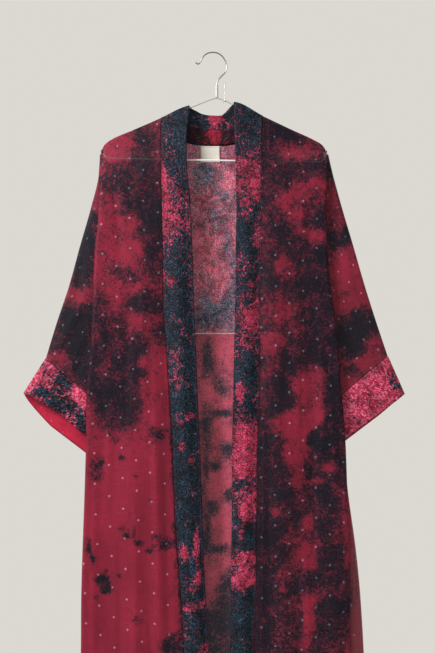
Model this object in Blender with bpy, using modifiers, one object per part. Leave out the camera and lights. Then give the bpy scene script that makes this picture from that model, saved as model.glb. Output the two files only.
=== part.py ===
"""A long kimono robe hanging open on a wire hanger.

Metres, +Z up, +X to the viewer's right, the fronts face -Y. The origin is the inner
top of the hanger's hook. Every cloth piece is worked out as its inner face, a grid of
points in millimetres, and gets its wall outwards from there. A height is given as a
drop: the distance in millimetres below the inner top of the hook.
"""
import math

import bpy
import numpy as np

MM = 0.001

# Walls and seams
CLOTH = 1.2
DOUBLE_CLOTH = 2.0
LABEL_CLOTH = 1.0
SEAM_GAP = 0.3
# The double band leans towards the panel beside it
BAND_SEAM_GAP = 0.9

# Lengths of the garment
HEM = 1343.0
YOKE_FOOT = 518.0
SHOULDER_CORNER = 186.0
RIDGE_LIFT = 1.6

# Depth of the cloth in front of and behind the hanger
ARCH_DEPTH = 3.0
ARCH_LENGTH = 1.5
FRONT_SPREAD = 17.0
BACK_SPREAD = 16.0
SPREAD_LENGTH = 60.0
FOLD_GROWTH = 0.7
ROLL_RADIUS = 5.0
LEAST_ROLL_RADIUS = 0.6
ROLL_STEPS = 4
SEAM_CURVE = 14.0
# Where points stand on the curve to the seam, as shares of its length before the seam
CURVE_MARKS = (1.0, 0.72, 0.3, 0.07, 0.0)
CLOSED_SEAM = 0.55
ROOM_BEHIND_ROLL = 4.6

# Neckband: its crown, how far its free edge leans back at the hem, and the trough
# beside it; each grows from its first drop to its full drop
BAND_CROWN = 4.5
CROWN_DROPS = (160.0, 460.0)
BAND_LEAN = 13.0
BAND_TROUGH = 5.0
TROUGH_DROPS = (200.0, 500.0)
TROUGH_WIDTH = 15.0

# Hanger
HOOK_WIRE = 2.6
FRAME_WIRE = 3.0
TAIL_WIRE = 1.4
NECK_SLEEVE = 6.0
WIRE_UNDER_RIDGE = 2.5

# The shoulder line seen from the front: x, drop
RIDGE = (
    (-209.0, 187.0),
    (-205.0, 177.0),
    (-200.0, 168.5),
    (-188.0, 159.5),
    (-150.0, 142.8),
    (-95.4, 119.1),
    (-44.0, 96.8),
    (-2.0, 92.0),
    (37.0, 90.6),
    (89.8, 115.4),
    (147.0, 142.3),
    (186.5, 160.6),
    (201.0, 169.5),
    (207.0, 178.0),
    (210.5, 187.0),
)

# Both front bands: drop, left seam, left free edge, right free edge, right seam
BANDS = (
    (90.0, -95.4, -44.2, 37.2, 89.8),
    (120.0, -95.6, -46.5, 37.3, 89.4),
    (160.0, -97.0, -51.0, 37.5, 87.5),
    (200.0, -97.2, -51.0, 38.0, 87.0),
    (275.0, -97.0, -45.5, 38.8, 84.3),
    (365.0, -96.0, -42.6, 37.0, 81.6),
    (460.0, -96.0, -40.8, 35.0, 79.0),
    (550.0, -91.0, -37.5, 32.0, 78.6),
    (640.0, -86.0, -35.5, 29.4, 76.5),
    (735.0, -81.6, -32.0, 26.6, 72.2),
    (830.0, -78.9, -30.0, 25.5, 70.0),
    (920.0, -74.3, -28.0, 23.8, 68.2),
    (1015.0, -68.0, -24.5, 21.8, 65.5),
    (1110.0, -64.3, -21.0, 20.0, 62.6),
    (1343.0, -58.0, -14.0, 16.0, 58.0),
)

# Visible side edges: drop, front left, front right, back left, back right
EDGES = (
    (186.0, -208.0, 210.0, -208.0, 210.0),
    (225.0, -210.5, 209.5, -210.5, 209.5),
    (270.0, -212.7, 207.5, -212.7, 207.5),
    (320.0, -214.5, 206.0, -214.5, 206.0),
    (355.0, -220.0, 206.5, -220.0, 206.5),
    (400.0, -222.5, 209.0, -222.5, 209.0),
    (455.0, -224.5, 214.0, -224.5, 214.0),
    (510.0, -228.0, 222.0, -227.5, 222.0),
    (616.0, -237.0, 229.5, -236.0, 229.0),
    (736.0, -240.5, 237.5, -239.5, 238.0),
    (822.0, -244.0, 239.5, -243.0, 246.5),
    (932.0, -249.0, 243.5, -248.0, 260.5),
    (1005.0, -251.5, 243.5, -251.0, 267.0),
    (1095.0, -253.0, 241.0, -253.0, 272.0),
    (1200.0, -256.0, 243.0, -256.5, 276.0),
    (1343.0, -259.0, 247.0, -261.0, 281.0),
)

# How the cloth rolls round its side edge towards the armhole, side seam or slit:
# drop, roll angle in degrees, length turned in on the left, on the right, and how far
# the seam closes to the middle plane (1 is a closed side seam)
SIDE_ROLL = (
    (186.0, 30.0, 1.0, 1.0, 0.0),
    (200.0, 110.0, 1.5, 1.2, 0.0),
    (225.0, 180.0, 3.5, 2.0, 0.0),
    (270.0, 180.0, 8.0, 3.5, 0.0),
    (320.0, 180.0, 14.0, 7.0, 0.1),
    (345.0, 180.0, 20.0, 11.0, 0.2),
    (380.0, 180.0, 29.0, 17.5, 0.4),
    (431.0, 180.0, 39.0, 28.5, 0.63),
    (456.0, 180.0, 53.0, 43.0, 1.0),
    (530.0, 180.0, 63.0, 55.0, 1.0),
    (620.0, 180.0, 61.0, 54.0, 1.0),
    (700.0, 180.0, 49.0, 43.0, 1.0),
    (760.0, 180.0, 38.0, 34.0, 1.0),
    (850.0, 180.0, 26.0, 22.0, 1.0),
    (1000.0, 180.0, 17.0, 16.0, 1.0),
    (1095.0, 180.0, 15.0, 14.5, 1.0),
    (1150.0, 180.0, 15.0, 14.5, 0.4),
    (1343.0, 180.0, 14.5, 14.5, 0.1),
)

# Vertical folds: x at the shoulder, x at the hem, half width, height, drop of the start
FRONT_FOLDS = (
    (-150.0, -158.0, 22.0, 5.0, 320.0),
    (-196.0, -205.0, 20.0, -3.5, 480.0),
    (-120.0, -108.0, 14.0, 3.5, 600.0),
    (128.0, 118.0, 20.0, 5.5, 280.0),
    (172.0, 170.0, 22.0, -4.0, 420.0),
    (195.0, 212.0, 18.0, 3.5, 700.0),
)
BACK_FOLDS = (
    (-176.0, -196.0, 26.0, 5.0, 320.0),
    (-108.0, -128.0, 24.0, -4.5, 260.0),
    (-30.0, -48.0, 26.0, 5.5, 380.0),
    (30.0, 40.0, 24.0, -4.0, 420.0),
    (100.0, 118.0, 28.0, 5.5, 300.0),
    (170.0, 200.0, 26.0, -4.0, 420.0),
)

# Drops of the rows of points below the shoulder
PANEL_LEVELS = (
    225.0, 250.0, 285.0, 320.0, 350.0, 385.0, 431.0, 456.0, YOKE_FOOT, 600.0, 690.0,
    770.0, 860.0, 960.0, 1095.0, 1150.0, 1240.0, HEM,
)
NEAR_RIDGE = (0.0, 1.0, 2.5, 6.0, 13.0)
SHOULDER_SHARES = (0.3, 0.65)

# Columns of points: across a front, across a shoulder of the back, across the neckband
FRONT_COLUMNS = 7
SHOULDER_COLUMNS = (0.0, 0.12, 0.3, 0.62)
BAND_COLUMNS = 5
FACING_COLUMNS = (0.5, 0.75, 0.97)
LABEL_POINTS = 4

# The back of the neckband, from the left shoulder round to the right:
# free edge x, free edge drop, seam x, seam drop
NECKBAND = (
    (-44.5, 98.5, -95.4, 120.7),
    (-43.8, 99.4, -95.0, 121.7),
    (-42.5, 100.6, -94.4, 123.2),
    (-39.5, 102.4, -93.0, 126.6),
    (-31.0, 106.4, -82.0, 141.5),
    (-21.5, 111.0, -58.0, 161.0),
    (-6.0, 113.6, -25.0, 167.3),
    (12.0, 114.0, 12.0, 168.8),
    (21.0, 109.5, 47.0, 164.0),
    (28.0, 102.0, 76.0, 141.0),
    (33.0, 97.2, 87.0, 123.0),
    (35.4, 95.2, 88.6, 119.4),
    (36.8, 93.6, 89.3, 118.0),
    (37.4, 92.3, 89.8, 117.0),
)

# Sleeves: position along the sleeve from armhole to cuff seam, upper fold x and drop,
# lower fold x and drop; x is given outwards from the middle
SLEEVE_LEFT = (
    (0.0, 208.8, 188.0, 178.0, 430.0),
    (0.12, 211.5, 225.0, 177.3, 453.0),
    (0.3, 226.0, 285.0, 176.0, 490.0),
    (0.5, 247.0, 356.0, 177.0, 540.0),
    (0.7, 268.0, 430.0, 182.5, 590.0),
    (0.87, 291.0, 497.0, 190.5, 632.0),
    (1.0, 311.5, 562.0, 197.0, 662.0),
)
SLEEVE_RIGHT = (
    (0.0, 212.0, 188.0, 176.0, 430.0),
    (0.12, 219.0, 220.0, 175.3, 453.0),
    (0.3, 236.0, 285.0, 174.5, 490.0),
    (0.5, 257.0, 358.0, 176.5, 540.0),
    (0.7, 278.0, 433.0, 183.5, 590.0),
    (0.87, 299.0, 501.0, 193.0, 632.0),
    (1.0, 319.8, 565.0, 200.0, 661.0),
)
SLEEVE_DEPTH = 4.8
SLEEVE_RINGS = (0.0, 0.05, 0.12, 0.22, 0.36, 0.52, 0.68, 0.84, 0.9985)
# The sleeve is lapped inside the armhole, and flattens out along this share of its length
ARMHOLE_LAP = 2 * CLOTH + 0.45
LEAST_ARMHOLE_DEPTH = 0.4
FLAT_FROM = 0.3
# Room that a sleeve layer gains for each millimetre beyond the body's edge
ROOM_GAIN = 0.5
# Distances of ring points from the folds, and the least room above the lower fold
FOLD_POINTS = (0.0, 4.0, 14.0)
LEVEL_ROOM = 20.0

# Cuffs: upper fold, lower fold at the front hem, drop added to the back hem's lower
# end and middle, rise of the front hem's middle
CUFF_LEFT = {"top": (352.0, 625.0), "foot": (213.0, 734.0), "back": 25.0, "bow": 12.0}
CUFF_RIGHT = {"top": (350.5, 636.0), "foot": (216.0, 733.0), "back": 7.0, "bow": 0.0}
CUFF_FLARE = 0.9
CUFF_RINGS = (0.004, 0.35, 0.7, 1.0)
# Share of the hem, from its upper fold, by which the back hem reaches its full drop
BACK_HEM_SHARE = 1 / 3

# Label: left x, right x, upper drop, lower drop
LABEL = (-24.5, 11.7, 169.6, 199.6)

# Wire paths in the plane of the hanger: x, drop
HOOK_PATH = (
    (-32.0, 17.4), (-28.6, 20.6), (-24.4, 18.0), (-20.8, 11.0), (-16.2, 4.6),
    (-9.0, 0.2), (0.0, -1.3), (9.0, 0.4), (17.2, 6.0), (23.2, 15.5),
    (25.2, 25.5), (22.8, 34.5), (16.8, 41.5), (10.8, 47.6), (7.4, 53.5), (6.2, 59.7),
)
RIGHT_CORNER = (
    (196.0, 173.8), (203.5, 181.0), (206.4, 190.0), (204.0, 198.5), (197.0, 202.0),
)
LEFT_CORNER = (
    (-191.0, 195.0), (-199.0, 192.5), (-202.2, 186.0), (-200.0, 177.5), (-194.0, 170.0),
)
LEFT_SHOULDER_X = (-184.0, -140.0, -95.0, -60.0)
RIGHT_SHOULDER_X = (50.0, 90.0, 140.0, 184.0)
FRAME_APEX = (
    (-39.0, 99.4), (-16.0, 90.0), (-5.0, 85.8), (4.5, 83.6), (13.0, 84.8), (35.0, 94.4),
)
NECK_SLEEVE_TOP = 60.2
NECK_SLEEVE_FOOT = 81.6
TAIL_PATH = ((21.8, 54.5), (21.0, 68.0), (20.4, 84.0), (19.6, 89.5), (17.6, 92.6))
TAIL_SIDE = -2.6
PATH_STEPS = 2

COLOURS = {
    "cloth": (0.27, 0.018, 0.045),
    "dark cloth": (0.02, 0.02, 0.035),
    "brocade": (0.05, 0.05, 0.09),
    "cuff": (0.33, 0.04, 0.09),
    "yoke": (0.30, 0.09, 0.13),
    "label": (0.78, 0.75, 0.66),
    "grey wire": (0.42, 0.41, 0.38),
    "white wire": (0.80, 0.79, 0.76),
}


def column(table, index):
    """One column of a table as an array."""
    return np.array([row[index] for row in table])


def smooth(table, index, where):
    """Monotone cubic curve through one column of a table, against its first column."""
    xs = column(table, 0)
    ys = column(table, index)
    step = np.diff(xs)
    slope = np.diff(ys) / step
    tangent = np.zeros(len(xs))
    inner = slope[:-1] * slope[1:] > 0
    weight_a = 2 * step[1:] + step[:-1]
    weight_b = step[1:] + 2 * step[:-1]
    safe_a = np.where(inner, slope[:-1], 1.0)
    safe_b = np.where(inner, slope[1:], 1.0)
    mean = (weight_a + weight_b) / (weight_a / safe_a + weight_b / safe_b)
    tangent[1:-1] = np.where(inner, mean, 0.0)
    tangent[0] = slope[0]
    tangent[-1] = slope[-1]
    at = np.clip(np.asarray(where, dtype=float), xs[0], xs[-1])
    i = np.clip(np.searchsorted(xs, at) - 1, 0, len(step) - 1)
    t = (at - xs[i]) / step[i]
    a = (1 + 2 * t) * (1 - t) ** 2 * ys[i] + t * t * (3 - 2 * t) * ys[i + 1]
    b = t * (1 - t) ** 2 * step[i] * tangent[i] + t * t * (t - 1) * step[i] * tangent[i + 1]
    return a + b


def ridge_drop(x):
    """Drop of the inner face of the cloth along the shoulder line."""
    return smooth(RIDGE, 1, x) + RIDGE_LIFT


def growth(drop, drops):
    """Share from 0 at the first of two drops to 1 at the second."""
    return np.clip((drop - drops[0]) / (drops[1] - drops[0]), 0.0, 1.0)


def spread(below, amount):
    """Distance from the middle plane of cloth that arches over the wire and hangs down."""
    below = np.maximum(below, 0.0)
    arch = ARCH_DEPTH * (1 - np.exp(-below / ARCH_LENGTH))
    return SEAM_GAP / 2 + arch + amount * (1 - np.exp(-below / SPREAD_LENGTH))


def fold_height(folds, x, drop):
    """Sum of the vertical folds, each a soft ridge that grows down to the hem."""
    total = 0.0
    for top_x, hem_x, width, height, start in folds:
        reach = growth(drop, (start, HEM)) ** FOLD_GROWTH
        centre = top_x + (hem_x - top_x) * drop / HEM
        total = total + height * reach * np.exp(-((x - centre) / width) ** 2)
    return total


def front_depth(x, drop):
    """Distance of the front's inner face before the middle plane."""
    seam = smooth(BANDS, 1, drop) if x < 0 else smooth(BANDS, 4, drop)
    reach = growth(drop, TROUGH_DROPS)
    trough = BAND_TROUGH * reach * math.exp(-((x - seam) / TROUGH_WIDTH) ** 2)
    base = spread(drop - ridge_drop(x), FRONT_SPREAD)
    return base + fold_height(FRONT_FOLDS, x, drop) - trough


def back_depth(x, drop):
    """Distance of the back's inner face behind the middle plane."""
    return spread(drop - ridge_drop(x), BACK_SPREAD) + fold_height(BACK_FOLDS, x, drop)


def side_edge(side, face, drop):
    """Outermost x of the inner face on one side of the front (-1) or back (1)."""
    index = {(-1, -1): 1, (1, -1): 2, (-1, 1): 3, (1, 1): 4}[(side, face)]
    return float(smooth(EDGES, index, drop)) - side * CLOTH


def roll_start(side, face, drop):
    """Where a panel leaves its flat part for the roll round its side edge."""
    edge = side_edge(side, face, drop)
    depth_at = front_depth if face < 0 else back_depth
    depth = float(depth_at(edge - side * ROLL_RADIUS, drop))
    radius = max(LEAST_ROLL_RADIUS, min(ROLL_RADIUS, (depth - ROOM_BEHIND_ROLL) / 2))
    return edge - side * radius, depth, radius


def side_section(side, face, drop):
    """Points (x, y) from the start of the roll to the seam: an arc, then a straight
    stretch turned in behind it, which curves to the middle plane where it is sewn."""
    start_x, depth, radius = roll_start(side, face, drop)
    angle = math.radians(float(smooth(SIDE_ROLL, 1, drop)))
    length = float(smooth(SIDE_ROLL, 2 if side < 0 else 3, drop))
    if face > 0:
        length += side * (side_edge(side, 1, drop) - side_edge(side, -1, drop))
    closing = float(smooth(SIDE_ROLL, 4, drop))
    turns = [angle * k / ROLL_STEPS for k in range(ROLL_STEPS + 1)]
    points = [(radius * math.sin(turn), radius * (1 - math.cos(turn))) for turn in turns]
    end_out, end_back = points[-1]
    curve = min(SEAM_CURVE, length)
    full = depth - end_back - CLOSED_SEAM
    straight = length > curve + 2.0
    for gone in CURVE_MARKS if straight else CURVE_MARKS[1:]:
        mark = length - gone * curve
        rise = closing * full * (1 - math.sqrt(max(0.0, 1 - (1 - gone) ** 2)))
        out = end_out + mark * math.cos(angle)
        back = end_back + mark * math.sin(angle) + rise
        points.append((out, back))
    if not straight:
        between = tuple((a + b) / 2 for a, b in zip(points[ROLL_STEPS], points[ROLL_STEPS + 1]))
        points.insert(ROLL_STEPS + 1, between)
    return [(start_x + side * out, face * (depth - back)) for out, back in points]


def seam_point(side, face, drop):
    """The free end of a side section: armhole, side seam or slit edge."""
    return side_section(side, face, drop)[-1]


def row_drops(top):
    """Drops of a column of points that starts at the given drop."""
    near = [top + step for step in NEAR_RIDGE]
    rest = PANEL_LEVELS[0] - near[-1]
    return near + [near[-1] + rest * part for part in SHOULDER_SHARES] + list(PANEL_LEVELS)


def grid_object(name, rows, wall, colour, collection, flip=False, ring=False):
    """A grid of inner-face points in millimetres, with its wall built outwards."""
    count = len(rows[0])
    points = [(x * MM, y * MM, -drop * MM) for row in rows for x, y, drop in row]
    faces = []
    for r in range(len(rows) - 1):
        for c in range(count if ring else count - 1):
            d = (c + 1) % count
            quad = (r * count + c, r * count + d, (r + 1) * count + d, (r + 1) * count + c)
            faces.append(quad[::-1] if flip else quad)
    mesh = bpy.data.meshes.new(name)
    mesh.from_pydata(points, [], faces)
    mesh.shade_smooth()
    piece = bpy.data.objects.new(name, mesh)
    collection.objects.link(piece)
    shell = piece.modifiers.new("Wall", 'SOLIDIFY')
    shell.thickness = wall * MM
    shell.offset = 1.0
    shell.use_quality_normals = True
    mesh.materials.append(colour)
    return piece


def wire_object(name, points, diameter, colour, collection, closed=False):
    """A wire along points (x, y, drop) in millimetres."""
    curve = bpy.data.curves.new(name, 'CURVE')
    curve.dimensions = '3D'
    curve.bevel_depth = diameter / 2 * MM
    curve.bevel_resolution = 2
    curve.use_fill_caps = not closed
    spline = curve.splines.new('POLY')
    spline.points.add(len(points) - 1)
    for target, (x, y, drop) in zip(spline.points, points):
        target.co = (x * MM, y * MM, -drop * MM, 1.0)
    spline.use_cyclic_u = closed
    wire = bpy.data.objects.new(name, curve)
    collection.objects.link(wire)
    curve.materials.append(colour)
    return wire


def smooth_path(points, steps):
    """Catmull-Rom curve through the points, with a number of steps per stretch."""
    ends = [points[0]] + list(points) + [points[-1]]
    path = []
    for a, b, c, d in zip(ends, ends[1:], ends[2:], ends[3:]):
        for k in range(steps):
            t = k / steps
            weights = (
                (2 * t * t - t - t ** 3) / 2,
                (2 - 5 * t * t + 3 * t ** 3) / 2,
                (t + 4 * t * t - 3 * t ** 3) / 2,
                (t ** 3 - t * t) / 2,
            )
            path.append(tuple(float(v) for v in np.dot(weights, (a, b, c, d))))
    return path + [points[-1]]


def front_panel(name, side, colour, collection):
    """A front, from its band seam across to the side edge and round it."""
    seam_column = 1 if side < 0 else 4
    shares = np.linspace(0.0, 1.0, FRONT_COLUMNS)
    top_seam = BANDS[0][seam_column] + side * BAND_SEAM_GAP
    top_edge = roll_start(side, -1, SHOULDER_CORNER)[0]
    columns = []
    for share in shares:
        top = float(ridge_drop(top_seam + (top_edge - top_seam) * share))
        stretch = []
        for drop in row_drops(top):
            inner = float(smooth(BANDS, seam_column, drop)) + side * BAND_SEAM_GAP
            outer = roll_start(side, -1, drop)[0]
            x = inner + (outer - inner) * share
            stretch.append((x, -float(front_depth(x, drop)), drop))
        columns.append(stretch)
    corner_drops = row_drops(float(ridge_drop(top_edge)))
    sections = [side_section(side, -1, drop) for drop in corner_drops]
    for k in range(1, len(sections[0])):
        columns.append([(s[k][0], s[k][1], d) for s, d in zip(sections, corner_drops)])
    rows = [list(row) for row in zip(*columns)]
    return grid_object(name, rows, CLOTH, colour, collection, flip=side > 0)


def back_columns():
    """Top x of the back's columns: the shoulders, and between them the neck seam."""
    left = roll_start(-1, 1, SHOULDER_CORNER)[0]
    right = roll_start(1, 1, SHOULDER_CORNER)[0]
    neck = [row[2] for row in NECKBAND]
    kept = [neck[0] - BAND_SEAM_GAP] + neck[2:-2] + [neck[-1] + BAND_SEAM_GAP]
    shoulders = [left + (kept[0] - left) * part for part in SHOULDER_COLUMNS]
    others = [right + (kept[-1] - right) * part for part in SHOULDER_COLUMNS[::-1]]
    return shoulders + kept + others


def back_top(x):
    """Drop of the back's upper edge: the shoulder line, or the neck seam under the band."""
    seam_x = [row[2] for row in NECKBAND]
    seam_drop = [row[3] + BAND_SEAM_GAP for row in NECKBAND]
    if seam_x[0] <= x <= seam_x[-1]:
        return float(np.interp(x, seam_x, seam_drop))
    return float(ridge_drop(x))


def back_rows(first, last):
    """Rows of the back between two drops, from the left seam to the right seam."""
    tops = back_columns()
    left, right = tops[0], tops[-1]
    columns = []
    for top_x in tops:
        share = (top_x - left) / (right - left)
        stretch = []
        for drop in row_drops(back_top(top_x)):
            edge_left = roll_start(-1, 1, drop)[0]
            edge_right = roll_start(1, 1, drop)[0]
            x = edge_left + (edge_right - edge_left) * share
            stretch.append((x, float(back_depth(x, drop)), drop))
        columns.append(stretch)
    for side, at in ((-1, left), (1, right)):
        drops = row_drops(float(ridge_drop(at)))
        sections = [side_section(side, 1, drop) for drop in drops]
        for k in range(1, len(sections[0])):
            stretch = [(s[k][0], s[k][1], d) for s, d in zip(sections, drops)]
            columns.insert(0 if side < 0 else len(columns), stretch)
    rows = [list(row) for row in zip(*columns)]
    return [row for row in rows if first <= row[0][2] <= last]


def back_yoke(colour, collection):
    """Upper back, from the shoulders and neck seam down to the yoke seam."""
    rows = back_rows(0.0, YOKE_FOOT)
    return grid_object("back_yoke", rows, CLOTH, colour, collection)


def back_lower(colour, collection):
    """Lower back, from the yoke seam to the hem."""
    rows = back_rows(YOKE_FOOT, HEM)
    rows[0] = [(x, y, drop + SEAM_GAP) for x, y, drop in rows[0]]
    return grid_object("back_lower", rows, CLOTH, colour, collection)


def front_band(name, side, colour, collection):
    """Neckband down one front: crowned across, its free edge leaning back lower down."""
    seam_column, edge_column = (1, 2) if side < 0 else (4, 3)
    columns = []
    for share in np.linspace(0.0, 1.0, BAND_COLUMNS):
        top_edge = BANDS[0][edge_column]
        top_x = top_edge + (BANDS[0][seam_column] - top_edge) * share
        stretch = []
        for drop in row_drops(float(ridge_drop(top_x))):
            edge = float(smooth(BANDS, edge_column, drop))
            seam = float(smooth(BANDS, seam_column, drop))
            x = edge + (seam - edge) * share
            crown = BAND_CROWN * growth(drop, CROWN_DROPS) * math.sin(math.pi * share) ** 2
            lean = BAND_LEAN * (drop / HEM) ** 2 * (1 - share) ** 2
            stretch.append((x, -float(front_depth(x, drop)) - crown + lean, drop))
        columns.append(stretch)
    rows = [list(row) for row in zip(*columns)]
    return grid_object(name, rows, DOUBLE_CLOTH, colour, collection, flip=side > 0)


def neckband_point(row, share, inwards=0.0):
    """A point of the neckband's back at a share of its width from free edge to seam."""
    edge_x, edge_drop, seam_x, seam_drop = row
    x = edge_x + (seam_x - edge_x) * share
    drop = edge_drop + (seam_drop - edge_drop) * share
    return (x, float(back_depth(x, drop)) - inwards, drop)


def neckband_back(colour, collection):
    """Neckband round the back of the neck, from shoulder to shoulder."""
    shares = np.linspace(0.0, 1.0, BAND_COLUMNS)
    rows = [[neckband_point(row, share) for share in shares] for row in NECKBAND]
    return grid_object("band_neck", rows, DOUBLE_CLOTH, colour, collection, flip=True)


def neck_facing(colour, collection):
    """Strip of the main cloth sewn inside the lower half of the neckband's back."""
    inwards = LABEL_CLOTH + SEAM_GAP
    rows = [
        [neckband_point(row, share, inwards) for share in FACING_COLUMNS]
        for row in NECKBAND[4:-4]
    ]
    return grid_object("neck_facing", rows, LABEL_CLOTH, colour, collection, flip=True)


def neck_label(colour, collection):
    """Plain label hanging inside the back from the neck seam."""
    left, right, top, foot = LABEL
    inwards = LABEL_CLOTH + SEAM_GAP
    rows = []
    xs = np.linspace(left, right, LABEL_POINTS)
    for drop in np.linspace(top, foot, LABEL_POINTS):
        rows.append([(x, float(back_depth(x, drop)) - inwards, drop) for x in xs])
    return grid_object("neck_label", rows, LABEL_CLOTH, colour, collection)


def ring_shares(table):
    """Shares from the upper fold (0) to the lower fold (1), closer at both folds and
    level with the rows of the body's panels along the armhole."""
    top, foot = table[0][2], table[0][4]
    upper = [top + step for step in FOLD_POINTS]
    lower = [foot - step for step in FOLD_POINTS[::-1]]
    between = [drop for drop in PANEL_LEVELS if drop < foot - LEVEL_ROOM]
    return (np.array(upper + between + lower) - top) / (foot - top)


def lens(shares):
    """Half depth of a flattened tube across its width, as a share of the most."""
    return np.sqrt(1 - (2 * shares - 1) ** 6)


def armhole(side, face, drops):
    """Strand of the sleeve lapped inside the armhole edge: x outwards and half depth."""
    outs, depths = [], []
    for drop in drops:
        x, y = seam_point(side, face, drop)
        outs.append(side * x)
        depths.append(max(LEAST_ARMHOLE_DEPTH, abs(y) - ARMHOLE_LAP))
    depths[0] = depths[-1] = 0.0
    return np.array(outs), np.array(depths)


def sleeve_room(side, face, x, drop):
    """Most half depth a sleeve layer may have between the turned-in edges of the body."""
    room = []
    for out, level in zip(x, drop):
        start, depth, radius = roll_start(side, face, level)
        beyond = max(0.0, out - abs(start) - radius)
        room.append(depth - 2 * radius - ARMHOLE_LAP + ROOM_GAIN * beyond)
    return np.array(room)


def sleeve_ring(side, table, along):
    """One ring of the sleeve: the armhole curve, blending into straight flat sections.
    Gives x outwards, the drop, and the half depths of the front and back layers."""
    shares = ring_shares(table)
    top_x, top_drop, foot_x, foot_drop = [float(smooth(table, k, along)) for k in range(1, 5)]
    drops = table[0][2] + (table[0][4] - table[0][2]) * shares
    outs, front = armhole(side, -1, drops)
    back = armhole(side, 1, drops)[1]
    outs[0] = table[0][1]
    bend = (outs - table[0][1] - (table[0][3] - table[0][1]) * shares) * (1 - along) ** 2
    x = top_x + (foot_x - top_x) * shares + bend
    drop = top_drop + (foot_drop - top_drop) * shares
    blend = min(1.0, along / FLAT_FROM)
    blend = blend * blend * (3 - 2 * blend)
    halves = []
    for face, strand in ((-1, front), (1, back)):
        flat = np.minimum(SLEEVE_DEPTH * lens(shares), sleeve_room(side, face, x, drop))
        halves.append(strand + (flat - strand) * blend)
    return x, drop, halves[0], halves[1]


def ring_points(side, x, drop, front, back, back_extra=0.0):
    """Ring of points: upper fold, front layer, lower fold, back layer."""
    front_layer = [(side * a, -h, d) for a, d, h in zip(x, drop, front)]
    back_layer = [(side * a, h, d) for a, d, h in zip(x, drop + back_extra, back)]
    return front_layer + back_layer[-2:0:-1]


def sleeve(name, side, table, colour, collection):
    """Sleeve from the armhole to the cuff seam, a flattened tube."""
    rows = []
    for along in SLEEVE_RINGS:
        rows.append(ring_points(side, *sleeve_ring(side, table, along)))
    return grid_object(name, rows, CLOTH, colour, collection, flip=side < 0, ring=True)


def cuff(name, side, table, hem, colour, collection):
    """Cuff from its seam to the open hem, whose back hangs lower than its front."""
    shares = ring_shares(table)
    seam_x, seam_drop, flat, _ = sleeve_ring(side, table, 1.0)
    (top_x, top_drop), (foot_x, foot_drop) = hem["top"], hem["foot"]
    bow = hem["bow"] * 4 * shares * (1 - shares)
    hem_x = top_x + (foot_x - top_x) * shares
    hem_drop = top_drop + (foot_drop - top_drop) * shares - bow
    lower = hem["back"] * np.minimum(1.0, np.sqrt(shares / BACK_HEM_SHARE)) + bow
    rows = []
    for part in CUFF_RINGS:
        x = seam_x + (hem_x - seam_x) * part
        drop = seam_drop + (hem_drop - seam_drop) * part
        half = flat * (1 + CUFF_FLARE * part * (1 - shares))
        rows.append(ring_points(side, x, drop, half, half, lower * part))
    return grid_object(name, rows, DOUBLE_CLOTH, colour, collection, flip=side < 0, ring=True)


def hanger(grey, white, collection):
    """Hook, neck sleeve, closed frame under the shoulders, and the loose wire end."""
    hook = smooth_path([(x, 0.0, drop) for x, drop in HOOK_PATH], PATH_STEPS)
    wire_object("hanger_hook", hook, HOOK_WIRE, grey, collection)
    neck_x = HOOK_PATH[-1][0]
    neck = [(neck_x, 0.0, NECK_SLEEVE_TOP), (neck_x, 0.0, NECK_SLEEVE_FOOT)]
    wire_object("hanger_neck", neck, NECK_SLEEVE, white, collection)
    left = [(x, float(ridge_drop(x)) + WIRE_UNDER_RIDGE) for x in LEFT_SHOULDER_X]
    right = [(x, float(ridge_drop(x)) + WIRE_UNDER_RIDGE) for x in RIGHT_SHOULDER_X]
    apex = smooth_path(FRAME_APEX, PATH_STEPS)
    corners = smooth_path(RIGHT_CORNER, PATH_STEPS) + smooth_path(LEFT_CORNER, PATH_STEPS)
    loop = left + apex + right + corners
    wire = [(x, 0.0, drop) for x, drop in loop]
    wire_object("hanger_frame", wire, FRAME_WIRE, white, collection, closed=True)
    tail = smooth_path([(x, TAIL_SIDE, drop) for x, drop in TAIL_PATH], PATH_STEPS)
    wire_object("hanger_tail", tail, TAIL_WIRE, grey, collection)


def material(name, roughness, metallic=0.0):
    """Principled material in the named colour."""
    made = bpy.data.materials.new(name)
    made.use_nodes = True
    shader = made.node_tree.nodes["Principled BSDF"]
    shader.inputs["Base Color"].default_value = (*COLOURS[name], 1.0)
    shader.inputs["Roughness"].default_value = roughness
    shader.inputs["Metallic"].default_value = metallic
    return made


def build():
    for old in list(bpy.data.objects):
        bpy.data.objects.remove(old, do_unlink=True)
    kimono = bpy.data.collections.new("Kimono")
    bpy.context.scene.collection.children.link(kimono)
    cloth = material("cloth", 0.6)
    dark = material("dark cloth", 0.6)
    brocade = material("brocade", 0.45)
    cuffs = material("cuff", 0.45)
    front_panel("front_left", -1, cloth, kimono)
    front_panel("front_right", 1, dark, kimono)
    back_yoke(material("yoke", 0.6), kimono)
    back_lower(cloth, kimono)
    front_band("band_left", -1, brocade, kimono)
    front_band("band_right", 1, brocade, kimono)
    neckband_back(brocade, kimono)
    neck_facing(cloth, kimono)
    neck_label(material("label", 0.8), kimono)
    sleeve("sleeve_left", -1, SLEEVE_LEFT, cloth, kimono)
    sleeve("sleeve_right", 1, SLEEVE_RIGHT, dark, kimono)
    cuff("cuff_left", -1, SLEEVE_LEFT, CUFF_LEFT, cuffs, kimono)
    cuff("cuff_right", 1, SLEEVE_RIGHT, CUFF_RIGHT, cuffs, kimono)
    hanger(material("grey wire", 0.35, 1.0), material("white wire", 0.4), kimono)


build()
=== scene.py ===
"""A long dip-dyed silk kimono on a wire hanger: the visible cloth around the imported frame.

Each cloth piece is a grid of points in millimetres, given as x, y and drop, the distance
below the inner top of the hook. The grid is the cloth's inner face and Solidify adds the
wall outwards, so a piece lies on its solid's form, with its creases worked in on top.
"""

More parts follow.
